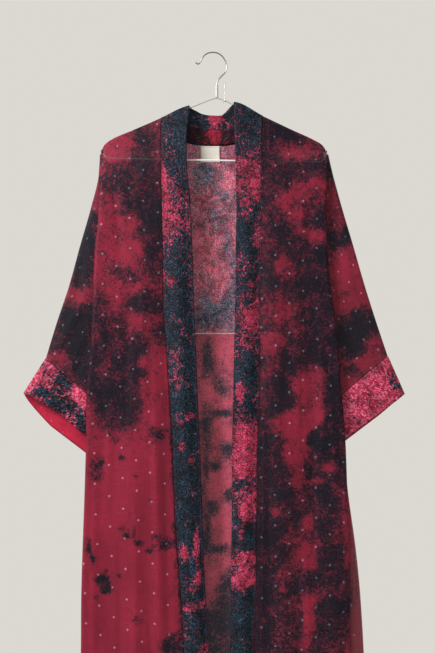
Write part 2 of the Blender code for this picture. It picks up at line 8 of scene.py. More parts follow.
import bpy
import numpy as np
from mathutils import Matrix


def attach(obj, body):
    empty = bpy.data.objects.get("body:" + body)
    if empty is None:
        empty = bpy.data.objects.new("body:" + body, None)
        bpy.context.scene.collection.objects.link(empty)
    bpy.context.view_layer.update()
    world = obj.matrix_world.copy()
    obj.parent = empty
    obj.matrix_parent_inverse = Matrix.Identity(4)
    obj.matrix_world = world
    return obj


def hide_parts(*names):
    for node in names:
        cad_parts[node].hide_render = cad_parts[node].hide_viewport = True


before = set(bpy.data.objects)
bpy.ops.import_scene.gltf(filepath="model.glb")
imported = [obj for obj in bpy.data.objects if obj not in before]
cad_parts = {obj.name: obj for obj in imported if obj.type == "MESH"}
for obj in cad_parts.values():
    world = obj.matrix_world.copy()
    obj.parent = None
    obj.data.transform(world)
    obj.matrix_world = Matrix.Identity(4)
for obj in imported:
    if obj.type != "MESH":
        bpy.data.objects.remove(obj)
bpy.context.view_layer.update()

MM = 0.001

# Walls and seams
CLOTH = 1.2
DOUBLE_CLOTH = 2.0
LABEL_CLOTH = 1.0
SEAM_GAP = 0.3
# The double band leans towards the panel beside it
BAND_SEAM_GAP = 0.9

# Lengths of the garment
HEM = 1343.0
YOKE_FOOT = 518.0
SHOULDER_CORNER = 186.0
RIDGE_LIFT = 1.6

# Depth of the cloth in front of and behind the hanger
ARCH_DEPTH = 3.0
ARCH_LENGTH = 1.5
FRONT_SPREAD = 17.0
BACK_SPREAD = 16.0
SPREAD_LENGTH = 60.0
FOLD_GROWTH = 0.7
ROLL_RADIUS = 5.0
LEAST_ROLL_RADIUS = 0.6
SEAM_CURVE = 14.0
CLOSED_SEAM = 0.55
ROOM_BEHIND_ROLL = 4.6

# Neckband: its crown, how far its free edge leans back at the hem, and the trough
# beside it; each grows from its first drop to its full drop
BAND_CROWN = 4.5
CROWN_DROPS = (160.0, 460.0)
BAND_LEAN = 13.0
BAND_TROUGH = 5.0
TROUGH_DROPS = (200.0, 500.0)
TROUGH_WIDTH = 15.0

# The shoulder line seen from the front: x, drop
RIDGE = (
    (-209, 187), (-205, 177), (-200, 168.5), (-188, 159.5), (-150, 142.8), (-95.4, 119.1),
    (-44, 96.8), (-2, 92), (37, 90.6), (89.8, 115.4), (147, 142.3), (186.5, 160.6),
    (201, 169.5), (207, 178), (210.5, 187),
)

# Both front bands: drop, left seam, left free edge, right free edge, right seam
BANDS = (
    (90, -95.4, -44.2, 37.2, 89.8), (120, -95.6, -46.5, 37.3, 89.4),
    (160, -97, -51, 37.5, 87.5), (200, -97.2, -51, 38, 87), (275, -97, -45.5, 38.8, 84.3),
    (365, -96, -42.6, 37, 81.6), (460, -96, -40.8, 35, 79), (550, -91, -37.5, 32, 78.6),
    (640, -86, -35.5, 29.4, 76.5), (735, -81.6, -32, 26.6, 72.2), (830, -78.9, -30, 25.5, 70),
    (920, -74.3, -28, 23.8, 68.2), (1015, -68, -24.5, 21.8, 65.5), (1110, -64.3, -21, 20, 62.6),
    (1343, -58, -14, 16, 58),
)

# Visible side edges: drop, front left, front right, back left, back right
EDGES = (
    (186, -208, 210, -208, 210), (225, -210.5, 209.5, -210.5, 209.5),
    (270, -212.7, 207.5, -212.7, 207.5), (320, -214.5, 206, -214.5, 206),
    (355, -220, 206.5, -220, 206.5), (400, -222.5, 209, -222.5, 209),
    (455, -224.5, 214, -224.5, 214), (510, -228, 222, -227.5, 222),
    (616, -237, 229.5, -236, 229), (736, -240.5, 237.5, -239.5, 238),
    (822, -244, 239.5, -243, 246.5), (932, -249, 243.5, -248, 260.5),
    (1005, -251.5, 243.5, -251, 267), (1095, -253, 241, -253, 272),
    (1200, -256, 243, -256.5, 276), (1343, -259, 247, -261, 281),
)

# How the cloth rolls round its side edge towards the armhole, side seam or slit:
# drop, roll angle in degrees, length turned in on the left, on the right, and how far
# the seam closes to the middle plane (1 is a closed side seam)
SIDE_ROLL = (
    (186, 30, 1, 1, 0), (200, 110, 1.5, 1.2, 0), (225, 180, 3.5, 2, 0), (270, 180, 8, 3.5, 0),
    (320, 180, 14, 7, 0.1), (345, 180, 20, 11, 0.2), (380, 180, 29, 17.5, 0.4),
    (431, 180, 39, 28.5, 0.63), (456, 180, 53, 43, 1), (530, 180, 63, 55, 1),
    (620, 180, 61, 54, 1), (700, 180, 49, 43, 1), (760, 180, 38, 34, 1), (850, 180, 26, 22, 1),
    (1000, 180, 17, 16, 1), (1095, 180, 15, 14.5, 1), (1150, 180, 15, 14.5, 0.4),
    (1343, 180, 14.5, 14.5, 0.1),
)

# Vertical folds: x at the shoulder, x at the hem, half width, height, drop of the start
FRONT_FOLDS = (
    (-150, -158, 22, 5, 320), (-196, -205, 20, -3.5, 480), (-120, -108, 14, 3.5, 600),
    (128, 118, 20, 5.5, 280), (172, 170, 22, -4, 420), (195, 212, 18, 3.5, 700),
)
BACK_FOLDS = (
    (-176, -196, 26, 5, 320), (-108, -128, 24, -4.5, 260), (-30, -48, 26, 5.5, 380),
    (30, 40, 24, -4, 420), (100, 118, 28, 5.5, 300), (170, 200, 26, -4, 420),
)

# Drop of the first level row of points below the shoulder
FIRST_LEVEL = 225.0

# The back of the neckband, from the left shoulder round to the right:
# free edge x, free edge drop, seam x, seam drop
NECKBAND = (
    (-44.5, 98.5, -95.4, 120.7), (-43.8, 99.4, -95, 121.7), (-42.5, 100.6, -94.4, 123.2),
    (-39.5, 102.4, -93, 126.6), (-31, 106.4, -82, 141.5), (-21.5, 111, -58, 161),
    (-6, 113.6, -25, 167.3), (12, 114, 12, 168.8), (21, 109.5, 47, 164), (28, 102, 76, 141),
    (33, 97.2, 87, 123), (35.4, 95.2, 88.6, 119.4), (36.8, 93.6, 89.3, 118),
    (37.4, 92.3, 89.8, 117),
)

# Sleeves: position along the sleeve from armhole to cuff seam, upper fold x and drop,
# lower fold x and drop; x is given outwards from the middle
SLEEVE_LEFT = (
    (0, 208.8, 188, 178, 430), (0.12, 211.5, 225, 177.3, 453), (0.3, 226, 285, 176, 490),
    (0.5, 247, 356, 177, 540), (0.7, 268, 430, 182.5, 590), (0.87, 291, 497, 190.5, 632),
    (1, 311.5, 562, 197, 662),
)
SLEEVE_RIGHT = (
    (0, 212, 188, 176, 430), (0.12, 219, 220, 175.3, 453), (0.3, 236, 285, 174.5, 490),
    (0.5, 257, 358, 176.5, 540), (0.7, 278, 433, 183.5, 590), (0.87, 299, 501, 193, 632),
    (1, 319.8, 565, 200, 661),
)
SLEEVE_DEPTH = 4.8
# The sleeve is lapped inside the armhole, and flattens out along this share of its length
ARMHOLE_LAP = 2 * CLOTH + 0.45
LEAST_ARMHOLE_DEPTH = 0.4
FLAT_FROM = 0.3
# Room that a sleeve layer gains for each millimetre beyond the body's edge
ROOM_GAIN = 0.5

# Cuffs: upper fold, lower fold at the front hem, drop added to the back hem's lower
# end and middle, rise of the front hem's middle
CUFF_LEFT = {"top": (352.0, 625.0), "foot": (213.0, 734.0), "back": 25.0, "bow": 12.0}
CUFF_RIGHT = {"top": (350.5, 636.0), "foot": (216.0, 733.0), "back": 7.0, "bow": 0.0}
CUFF_FLARE = 0.9
# Share of the hem, from its upper fold, by which the back hem reaches its full drop
BACK_HEM_SHARE = 1 / 3

# Label: left x, right x, upper drop, lower drop
LABEL = (-24.5, 11.7, 169.6, 199.6)

# Patches of dye: x, drop, half width, half length, strength; a positive patch is dark on
# the main cloth and on the figured cloth, a negative one is red. A few dark patches beside
# the front bands are painted shade, not dye.
LEFT_FRONT_DYE_AND_SHADE = (
    (-125, 168, 38, 30, 0.9), (-109, 227, 25, 25, 0.8), (-151, 227, 38, 30, 0.7),
    (-181, 252, 30, 25, 0.4), (-126, 290, 42, 25, 1), (-110, 324, 25, 51, 1.2),
    (-108, 384, 15, 34, 1), (-144, 337, 17, 13, 0.7), (-182, 299, 25, 8, 0.5),
    (-176, 172, 25, 25, -1), (-196, 231, 17, 21, 0.35), (-178, 341, 34, 38, -1.1),
    (-166, 409, 21, 25, 0.45), (-128, 460, 42, 25, 1), (-209, 476, 21, 25, 1),
    (-188, 531, 47, 38, 1.1), (-146, 544, 25, 21, 0.8), (-103, 515, 17, 25, 0.8),
    (-128, 493, 25, 13, -0.8), (-112, 574, 21, 42, -1), (-194, 615, 42, 47, 1.2),
    (-138, 591, 21, 13, 0.8), (-181, 666, 38, 25, 1.1), (-223, 581, 13, 38, 0.9),
    (-155, 637, 17, 17, 0.7), (-182, 713, 25, 13, 0.4), (-175, 442, 25, 17, -0.6),
    (-160, 840, 150, 150, -0.9), (-160, 1160, 150, 260, -0.9), (-218, 752, 17, 17, 1.4),
    (-218, 778, 15, 11, 1.2), (-110, 699, 18, 13, 0.9), (-179, 872, 8, 6, 1.7),
    (-167, 884, 9, 8, 1.7), (-153, 878, 5, 14, 1.3), (-146, 898, 11, 7, 1.9),
    (-128, 914, 9, 7, 1.6), (-113, 886, 15, 9, 1.2), (-97, 904, 16, 11, 1.35),
    (-118, 900, 24, 14, 0.9), (-86, 880, 9, 30, 0.7), (-161, 850, 5, 15, 1),
    (-140, 852, 9, 7, 0.9), (-235, 903, 8, 18, 1.5), (-228, 926, 6, 9, 1.3),
    (-215, 963, 13, 10, 1.5), (-205, 983, 12, 9, 1.5), (-205, 972, 20, 20, 0.8),
    (-223, 996, 6, 10, 1.2), (-175, 743, 7, 5, 1.3), (-149, 776, 5, 5, 1.3),
    (-207, 861, 4, 14, 1.1), (-150, 1036, 16, 14, 1.2), (-98, 1092, 27, 20, 0.9),
    (-181, 957, 5, 4, 1.5), (-205, 947, 4, 4, 1.4), (-84, 1079, 18, 20, 1.7),
    # The last patch of this line and the three of the next, long and narrow beside the band seam,
    # are painted shade cast by the band, not dye
    (-118, 820, 15, 4, 0.8), (-184, 683, 37, 18, 0.5), (-82, 740, 6, 70, 1.2),
    (-76, 870, 6, 80, 1.5), (-69, 1000, 7, 80, 1.6), (-62, 1150, 8, 90, 1.5),
)
LEFT_SLEEVE_DYE = (
    (-216, 307, 17, 13, 0.7), (-234, 357, 21, 38, 1.4), (-251, 408, 15, 19, 1),
    (-251, 448, 25, 19, -1), (-261, 509, 42, 42, 1.4), (-244, 572, 21, 30, 1.3),
    (-295, 557, 25, 9, -0.9), (-270, 572, 15, 11, -0.5), (-213, 256, 13, 30, -0.6),
    (-226, 484, 25, 25, 0.8),
)
RIGHT_FRONT_DYE_AND_SHADE = (
    (136, 182, 25, 17, -1), (169, 187, 29, 13, -1), (119, 149, 25, 29, 0.6),
    (106, 237, 21, 25, 0.6), (156, 258, 29, 33, -0.9), (190, 254, 21, 25, -0.8),
    (143, 304, 17, 17, -0.9), (122, 279, 17, 13, -0.4), (185, 313, 17, 13, 0.6),
    (184, 342, 25, 15, -0.8), (117, 338, 17, 13, 0.6), (159, 334, 17, 8, -0.5),
    (146, 380, 25, 13, 0.6), (127, 397, 17, 21, -1.2), (96, 413, 13, 25, 0.6),
    (188, 443, 38, 38, 0.9), (164, 458, 8, 8, -0.5), (120, 477, 25, 21, -1.1),
    (195, 503, 29, 46, 1), (107, 531, 25, 21, -1), (170, 553, 25, 25, 0.7),
    (136, 578, 17, 13, 0.9), (94, 548, 10, 17, -0.9), (173, 612, 27, 36, -1.6),
    (110, 636, 21, 29, 1.2), (123, 584, 25, 10, -0.5), (131, 683, 42, 21, -1.4),
    (211, 604, 17, 38, 0.7), (215, 676, 21, 38, 0.7), (172, 713, 13, 13, 1),
    (132, 102, 50, 25, 0.6), (180, 667, 22, 22, -1.1), (157, 703, 26, 30, -1.3),
    (142, 740, 15, 22, -1.2), (147, 785, 11, 22, -1.3), (172, 715, 9, 11, 1.2),
    (198, 700, 22, 22, 0.8), (216, 734, 22, 22, 0.7), (205, 767, 18, 13, -1),
    (182, 793, 18, 9, -0.8), (105, 754, 11, 15, 0.8), (117, 807, 17, 13, 1.2),
    (94, 769, 15, 22, 0.4), (197, 816, 26, 22, 0.6), (104, 847, 15, 15, -0.6),
    (148, 852, 11, 8, 0.8), (167, 867, 13, 15, -1.1), (161, 923, 22, 30, -1.5),
    (126, 903, 13, 18, -0.7), (192, 927, 15, 15, 0.9), (98, 903, 22, 44, 0.8),
    (143, 985, 22, 15, 0.7), (117, 988, 15, 7, -0.8), (169, 1012, 13, 11, -0.9),
    (109, 1025, 22, 22, 0.6), (165, 1053, 11, 33, -1.3), (202, 1046, 22, 26, 0.7),
    (228, 1025, 18, 22, 0.6), (239, 1070, 15, 22, 0.5), (146, 1093, 18, 15, -0.5),
    (248, 891, 17, 59, -0.9), (259, 1048, 13, 48, -1.1), (118, 951, 18, 15, -0.3),
    # The two long narrow patches at x 84 and 78, beside the band seam, are painted shade cast by
    # the band, not dye
    (150, 215, 70, 50, 0.25), (84, 850, 9, 190, 0.7), (78, 1080, 9, 160, 0.7),
    (244, 1150, 15, 110, -1),
)
RIGHT_SLEEVE_DYE = (
    (217, 199, 13, 25, 0.8), (223, 279, 19, 23, -0.9), (228, 347, 25, 13, 1.2),
    (247, 330, 10, 10, 0.7), (255, 406, 33, 46, -1.6), (242, 465, 25, 13, -0.8),
    (275, 503, 38, 25, 1.1), (245, 537, 25, 25, 1.2), (296, 537, 15, 17, -0.4),
    (279, 577, 29, 12, -1.1), (257, 585, 10, 10, 0.9), (245, 613, 13, 13, -0.6),
)
LEFT_CUFF_DYE = (
    (-283, 601, 21, 21, 1), (-321, 624, 17, 11, 1.2), (-300, 647, 25, 13, 1.1),
    (-271, 644, 21, 25, 0.9), (-248, 682, 13, 21, 1.2), (-241, 701, 8, 13, 1),
    (-247, 619, 13, 25, -0.8), (-338, 605, 17, 13, -0.6),
)
RIGHT_CUFF_DYE = (
    (328, 614, 9, 11, 1.9), (339, 622, 8, 6, 1.6), (286, 688, 7, 4, 2),
)
LEFT_BAND_DYE = (
    (-93, 265, 4, 60, -2.4), (-67, 152, 46, 41, 0.9), (-81, 309, 22, 33, -1.1),
    (-55, 272, 18, 26, -0.6), (-50, 327, 26, 18, -0.7), (-86, 253, 15, 37, -0.5),
    (-49, 207, 22, 22, -0.4), (-79, 419, 15, 15, -1), (-41, 386, 15, 18, -0.5),
    (-71, 571, 9, 22, -1), (-72, 615, 9, 18, -1), (-52, 670, 11, 8, -1.3),
    (-66, 724, 7, 10, -1.4), (-47, 748, 8, 4, -1.3), (-52, 801, 5, 5, -0.9),
    (-58, 862, 4, 17, -1.1), (-41, 903, 6, 30, -1.6), (-64, 921, 12, 18, -1.6),
    (-38, 962, 6, 15, -1), (-48, 982, 13, 15, -1.1), (-33, 1014, 18, 13, -1.2),
    (-56, 1021, 10, 11, -1), (-25, 1096, 13, 15, -1.5), (-39, 1062, 7, 7, -0.5),
)
RIGHT_BAND_DYE = (
    (69, 127, 46, 37, 0.9), (62, 207, 30, 41, -0.8), (62, 263, 30, 41, -0.85),
    (78, 350, 15, 18, -1), (56, 318, 18, 26, 0.5), (61, 498, 30, 37, -1.1),
    (51, 387, 15, 22, -0.4), (73, 572, 7, 8, -0.8), (43, 628, 10, 33, -1.1),
    (66, 613, 15, 22, 0.7), (67, 646, 11, 22, 0.7), (53, 709, 30, 30, -1.5),
    (53, 754, 30, 30, -1.6), (52, 816, 26, 26, -1.2), (41, 800, 9, 5, 0.5),
    (56, 854, 22, 22, -1.1), (55, 887, 7, 13, 1.2), (44, 887, 9, 15, -0.8),
    (55, 935, 26, 22, -1.5), (51, 972, 26, 17, -1.5), (50, 1038, 30, 30, 0.8),
    (37, 864, 7, 7, 0.3),
)
YOKE_WRONG_DYE = (
    (-21, 220, 18, 22, 1), (-16, 484, 26, 26, 1.1), (26, 364, 18, 56, 0.5),
    (0, 281, 22, 30, 0.4), (28, 476, 15, 37, 0.7), (-26, 346, 15, 56, -0.5),
    (5, 411, 22, 26, -0.5),
)
LOWER_WRONG_DYE = (
    (-18, 566, 13, 36, 1), (15, 556, 14, 26, -0.8), (12, 622, 18, 22, 0.8),
    (-16, 628, 9, 14, -0.8), (-20, 684, 11, 44, 1.1), (12, 668, 20, 8, 1.3),
    (14, 705, 14, 16, -0.9), (22, 737, 12, 11, 1.7), (-5, 769, 11, 9, 1.4),
    (8, 796, 18, 16, -0.9), (22, 820, 9, 13, 1.5), (-7, 847, 10, 16, 1.4),
    (9, 880, 16, 24, -0.9), (-21, 892, 8, 36, 1.5), (0, 922, 17, 7, 1.3),
    (14, 944, 12, 12, -0.6), (20, 1006, 17, 38, 1.9), (-4, 1066, 24, 40, 1.7),
    (3, 1120, 48, 50, 1.6), (-20, 776, 6, 26, 0.9),
)

# Patches on the outside of the back, which the photo does not show
BACK_DYE = (
    (-150, 230, 30, 40, 1), (-118, 292, 46, 22, 0.8), (-64, 330, 24, 46, 0.9),
    (-70, 232, 24, 22, -0.8), (72, 196, 30, 22, 0.8), (112, 244, 34, 40, 1.1),
    (166, 300, 22, 50, 0.7), (80, 330, 26, 22, -0.9), (160, 390, 36, 28, -0.9),
    (-176, 400, 24, 52, -0.9), (-112, 424, 34, 20, 0.9), (92, 440, 38, 20, 1),
    (-74, 480, 22, 24, -0.8), (150, 478, 34, 18, 0.7), (-196, 480, 20, 26, 0.9),
    (-200, 570, 26, 50, 0.9), (-150, 604, 42, 28, 1.2), (-92, 640, 20, 60, 1.1),
    (-172, 682, 30, 28, -1.1), (-80, 556, 24, 24, -1), (80, 562, 24, 30, 0.9),
    (124, 620, 28, 56, -1.2), (180, 566, 26, 36, 0.9), (198, 676, 22, 70, 1.1),
    (150, 736, 40, 24, 1), (84, 726, 20, 44, 0.9), (-118, 752, 34, 26, 0.9),
    (-206, 770, 22, 60, 1), (-78, 800, 18, 44, -1.1), (-150, 836, 40, 22, 1.1),
    (112, 812, 28, 40, -1.2), (178, 822, 30, 30, 0.8), (76, 884, 16, 50, 1),
    (-196, 908, 30, 40, -1.1), (-112, 918, 36, 34, 1.2), (150, 908, 34, 26, 1.1),
    (206, 930, 22, 60, -0.9), (118, 990, 30, 44, 1), (-164, 1004, 30, 46, 1),
    (-84, 1030, 20, 60, -0.8), (-214, 1040, 20, 56, 0.9), (178, 1040, 30, 40, -1.1),
    (84, 1080, 20, 40, -1.1), (-128, 1108, 42, 28, 1.1), (140, 1126, 40, 30, 1.1),
    (-196, 1160, 32, 46, -1.1), (206, 1170, 22, 60, 1), (-86, 1190, 22, 50, 1),
    (96, 1206, 30, 40, -1.2), (-150, 1256, 38, 34, 0.9), (160, 1262, 34, 34, 0.9),
    (-214, 1290, 22, 50, 1), (-96, 1316, 34, 22, -0.9), (92, 1314, 32, 24, 1),
    (262, 880, 16, 110, -1), (270, 1090, 18, 150, -1.2),
)

# Patches of dye on the back neckband, and patches of painted shade at both sides of its facing
NECKBAND_DYE = ((3, 118, 13, 26, -1.5), (-46, 120, 14, 30, 0.4))
FACING_SHADE = ((-38, 138, 20, 30, 1.6), (28, 138, 14, 30, 1.5), (0, 138, 14, 30, -0.5))

# Cover of one face of the thin silk, and how much less it covers where it is sheerest
SILK_ALPHA = 0.74
SHEER_LOSS = 0.3
# Sheer places: drop and half width of the stripe over the hanger's bar, and where the
# outer edge of the back begins and over what width
BAR_DROP = 190
BAR_WIDTH = 9
SHEER_EDGE = 236
SHEER_EDGE_WIDTH = 20
# Painted crease shade: how much a millimetre of crease darkens the tone in a trough and lightens it
# on a ridge, on the thin and on the figured silk
SILK_PAINTED_CREASE_SHADE = 0.05
FIGURED_PAINTED_CREASE_SHADE = 0.2
# Limits of the field of dye and painted shade: dark on the fronts, red on a whole one, and
# the drop and length over which the red clears below
FRONT_DARK_LIMIT = 0.48
CLEAR_DROP = 600
CLEAR_LENGTH = 120
# The same over the bands: drop and length over which both limits grow by BAND_LIMIT_GAIN
BAND_CLEAR_DROP = 560
BAND_CLEAR_LENGTH = 200
BAND_RED_LIMIT = 0.3
BAND_DARK_LIMIT = 0.6
BAND_LIMIT_GAIN = 0.3
# Share of the neckband's width to which it reaches down over the seam
NECKBAND_REACH = 1.015
SLEEVE_LENGTH = 400.0

FLOOR_Z = -1.75
FLOOR_RADIUS = 1.45
# Strength of the pale surround as it is seen, and as it lights the cloth
WORLD_SEEN = 0.92
WORLD_LIGHT = 0.62
# Soft lights: name, place, aim, power, size
LIGHTS = (
    ("key light", (-2.1, -1.5, 1.0), (0.0, 0.0, -0.6), 106.0, 1.0),
    ("fill light", (1.9, -1.9, -0.3), (0.0, 0.0, -0.7), 4.0, 1.8),
    ("back light", (0.6, 2.2, 0.6), (0.0, 0.0, -0.6), 12.0, 1.8),
)

# The camera stands a little left of the middle and looks level, turned 3.1 degrees
CAMERA_PLACE = (-0.0889, -1.6977, -0.5060)
CAMERA_YAW = 3.1
CAMERA_ROLL = 0.6
CAMERA_LENS = 50.66

# Creases: start x, start drop, end x, end drop, half width, height; a negative height is
# a trough
LEFT_FRONT_CREASES = (
    (-196, 215, -140, 330, 9, 1.6), (-186, 200, -172, 420, 8, -1.5),
    (-120, 175, -150, 300, 10, 1.2), (-138, 330, -128, 760, 7, 1.6),
    (-160, 420, -168, 700, 10, -1.8), (-212, 470, -200, 640, 7, 1.4),
    (-190, 560, -206, 900, 8, 1.9), (-116, 600, -110, 1060, 6, 1.7),
    (-98, 640, -92, 1180, 8, -2.6), (-150, 800, -158, 1343, 9, 2.4),
    (-178, 860, -186, 1240, 7, -2), (-226, 780, -232, 1200, 8, 1.8),
    (-128, 960, -122, 1343, 7, -1.9), (-210, 1060, -216, 1343, 8, 2.2),
)
RIGHT_FRONT_CREASES = (
    (192, 205, 150, 330, 9, 1.5), (176, 195, 170, 400, 8, -1.5), (118, 185, 138, 330, 9, 1.3),
    (150, 380, 146, 760, 7, 1.9), (128, 420, 120, 820, 9, -1.8), (190, 450, 196, 800, 8, 1.7),
    (171, 560, 176, 960, 7, -1.7), (208, 620, 226, 1000, 8, 1.8), (96, 640, 84, 1200, 8, -2.8),
    (158, 900, 170, 1343, 8, 2.6), (142, 1000, 146, 1343, 6, -2.2),
    (190, 960, 205, 1300, 8, -1.9), (118, 880, 112, 1343, 7, 1.8),
    (232, 900, 236, 1343, 8, 1.6),
)
BACK_CREASES = (
    (-190, 210, -120, 380, 12, 1.8), (188, 205, 110, 400, 12, 1.9),
    (-60, 200, -90, 470, 9, -1.4), (52, 210, 80, 440, 9, 1.4), (-4, 230, -2, 505, 8, 1.1),
    (-60, 386, 60, 389, 3, 0.9), (-10, 291, 70, 294, 3, 0.8), (-64, 474, 40, 476, 3, -0.7),
    (-150, 380, -160, 760, 10, 2), (-76, 540, -84, 900, 8, -2), (14, 560, 10, 980, 9, 1.8),
    (66, 540, 74, 820, 7, -1.6), (140, 470, 150, 880, 10, 2.1), (-204, 700, -214, 1100, 8, 1.9),
    (-120, 840, -132, 1343, 9, 2.5), (-44, 900, -52, 1343, 8, 2.2),
    (36, 820, 44, 1290, 8, -2.2), (98, 900, 112, 1343, 9, 2.4), (168, 860, 184, 1300, 8, -2.1),
    (206, 760, 232, 1180, 8, 1.9), (-176, 1020, -186, 1343, 7, -2),
    (70, 1080, 74, 1343, 6, 1.8), (-8, 1090, -10, 1343, 7, -1.8),
    (236, 1120, 248, 1343, 7, 1.6),
)
LEFT_BAND_CREASES = (
    (-92, 640, -46, 652, 6, -1), (-90, 718, -48, 736, 6, -1.2), (-86, 800, -40, 818, 5, 1.3),
    (-84, 812, -38, 834, 5, -2.6), (-78, 868, -44, 850, 5, -1.6),
    (-58, 900, -53, 1012, 5, -2.8), (-46, 890, -40, 1000, 5, 2.4),
    (-34, 900, -30, 1020, 4, -2.4), (-64, 1008, -22, 1046, 6, -3), (-60, 1032, -20, 1070, 6, 2),
    (-48, 1070, -38, 1190, 5, -2.6), (-32, 1060, -26, 1170, 4, 2),
    (-56, 1164, -14, 1190, 7, 1.8), (-56, 1254, -12, 1226, 6, -2),
    (-92, 330, -52, 318, 7, -0.8), (-90, 470, -52, 484, 6, 0.9),
)
RIGHT_BAND_CREASES = (
    (40, 372, 80, 360, 7, 0.8), (38, 540, 76, 556, 6, -0.9), (44, 640, 74, 600, 5, -1.2),
    (36, 700, 72, 716, 7, 0.9), (34, 800, 70, 784, 6, -1), (36, 860, 66, 800, 6, 1.4),
    (34, 910, 68, 850, 5, -2.2), (32, 960, 64, 900, 6, 2), (36, 996, 66, 946, 5, -2.4),
    (28, 1050, 62, 1030, 6, 1), (26, 1130, 60, 1150, 6, -1.2), (24, 1230, 58, 1214, 7, 1.1),
)
# Sleeve creases are given outwards from the middle
LEFT_SLEEVE_CREASES = (
    (214, 250, 240, 430, 8, 1.4), (226, 300, 262, 470, 7, -1.3), (222, 420, 300, 560, 9, 1.5),
    (206, 470, 268, 610, 8, -1.4), (258, 400, 306, 540, 6, 1), (240, 560, 290, 590, 6, 1.1),
)
RIGHT_SLEEVE_CREASES = (
    (222, 260, 246, 420, 8, 1.4), (236, 290, 268, 450, 7, -1.2), (232, 400, 304, 545, 9, 1.5),
    (216, 470, 276, 600, 8, -1.5), (262, 380, 312, 540, 6, 1.1), (246, 540, 300, 580, 6, -1),
)
CUFF_CREASES = (
    (250, 600, 262, 668, 7, 0.9), (300, 560, 322, 622, 7, -0.9), (222, 660, 240, 712, 6, -0.8),
    (330, 585, 340, 622, 5, 0.7),
)

# Distance between neighbouring points of the fine grids
FINE_STEP = 3.1
SHOULDER_ROWS = 24
ARC_POINTS = 9
TURNED_POINTS = 14
HEM_TURNING = 14.0
HEM_STEP = 0.45


def column(table, index):
    """One column of a table as an array."""
    return np.array([row[index] for row in table], float)


def smooth(table, index, where):
    """Monotone cubic curve through one column of a table, against its first column."""
    xs, ys = column(table, 0), column(table, index)
    step = np.diff(xs)
    slope = np.diff(ys) / step
    inner = slope[:-1] * slope[1:] > 0
    weight_a = 2 * step[1:] + step[:-1]
    weight_b = step[1:] + 2 * step[:-1]
    safe_a = np.where(inner, slope[:-1], 1.0)
    safe_b = np.where(inner, slope[1:], 1.0)
    mean = (weight_a + weight_b) / (weight_a / safe_a + weight_b / safe_b)
    tangent = np.concatenate([slope[:1], np.where(inner, mean, 0.0), slope[-1:]])
    at = np.clip(np.asarray(where, dtype=float), xs[0], xs[-1])
    i = np.clip(np.searchsorted(xs, at) - 1, 0, len(step) - 1)
    t = (at - xs[i]) / step[i]
    a = (1 + 2 * t) * (1 - t) ** 2 * ys[i] + t * t * (3 - 2 * t) * ys[i + 1]
    b = t * (1 - t) ** 2 * step[i] * tangent[i] + t * t * (t - 1) * step[i] * tangent[i + 1]
    return a + b


def growth(drop, drops):
    """Share from 0 at the first of two drops to 1 at the second."""
    return np.clip((drop - drops[0]) / (drops[1] - drops[0]), 0.0, 1.0)


def ease(share):
    """Share from 0 to 1 with a soft start and a soft end."""
    share = np.clip(share, 0.0, 1.0)
    return share * share * (3 - 2 * share)


def ridge_drop(x):
    """Drop of the inner face of the cloth along the shoulder line."""
    return smooth(RIDGE, 1, x) + RIDGE_LIFT


def spread(below, amount):
    """Distance from the middle plane: a small arch over the wire, 1 - e^(-below / length),
    and a slow opening of the same form down to the hem."""
    below = np.maximum(below, 0.0)
    arch = ARCH_DEPTH * (1 - np.exp(-below / ARCH_LENGTH))
    return SEAM_GAP / 2 + arch + amount * (1 - np.exp(-below / SPREAD_LENGTH))


def fold_height(folds, x, drop):
    """Sum of the vertical folds: height times e^(-(distance / half width)^2), growing down."""
    total = 0.0
    for top_x, hem_x, width, height, start in folds:
        reach = growth(drop, (start, HEM)) ** FOLD_GROWTH
        centre = top_x + (hem_x - top_x) * drop / HEM
        total = total + height * reach * np.exp(-((x - centre) / width) ** 2)
    return total


def crease_height(creases, x, drop):
    """Sum of the creases: across, e^(-(distance / half width)^2); along, a sine arch to the
    power 0.7, which is zero at both ends."""
    total = np.zeros(np.broadcast(x, drop).shape)
    for x0, drop0, x1, drop1, width, height in creases:
        run, fall = x1 - x0, drop1 - drop0
        length = np.hypot(run, fall)
        along = np.clip(((x - x0) * run + (drop - drop0) * fall) / length ** 2, 0.0, 1.0)
        across = ((x - x0) * fall - (drop - drop0) * run) / length
        arch = np.sin(np.pi * along) ** 0.7
        total = total + height * arch * np.exp(-(across / width) ** 2)
    return total


def ripple(x, drop, amount):
    """Small unevenness of soft cloth: a product and a sum of slow sines of x and drop."""
    one = np.sin(x / 13.1 + 1.9 * np.sin(drop / 61.0)) * np.sin(drop / 37.0 + x / 83.0)
    two = np.sin(x / 29.0 - drop / 171.0 + 1.3) + 0.6 * np.sin(drop / 23.0 + x / 41.0)
    return amount * (0.6 * one + 0.4 * two)


def front_depth(side, x, drop):
    """Distance of a front's inner face before the middle plane."""
    seam = smooth(BANDS, 1 if side < 0 else 4, drop)
    reach = growth(drop, TROUGH_DROPS)
    trough = BAND_TROUGH * reach * np.exp(-((x - seam) / TROUGH_WIDTH) ** 2)
    base = spread(drop - ridge_drop(x), FRONT_SPREAD)
    return base + fold_height(FRONT_FOLDS, x, drop) - trough


def back_depth(side, x, drop):
    """Distance of the back's inner face behind the middle plane."""
    return spread(drop - ridge_drop(x), BACK_SPREAD) + fold_height(BACK_FOLDS, x, drop)


def side_edge(side, face, drop):
    """Outermost x of the inner face on one side of the front (-1) or back (1)."""
    index = {(-1, -1): 1, (1, -1): 2, (-1, 1): 3, (1, 1): 4}[(side, face)]
    return smooth(EDGES, index, drop) - side * CLOTH


def roll_start(side, face, drop):
    """Where a panel leaves its flat part for the roll round its side edge."""
    edge = side_edge(side, face, drop)
    depth_at = front_depth if face < 0 else back_depth
    depth = depth_at(side, edge - side * ROLL_RADIUS, drop)
    radius = np.clip((depth - ROOM_BEHIND_ROLL) / 2, LEAST_ROLL_RADIUS, ROLL_RADIUS)
    return edge - side * radius, depth, radius


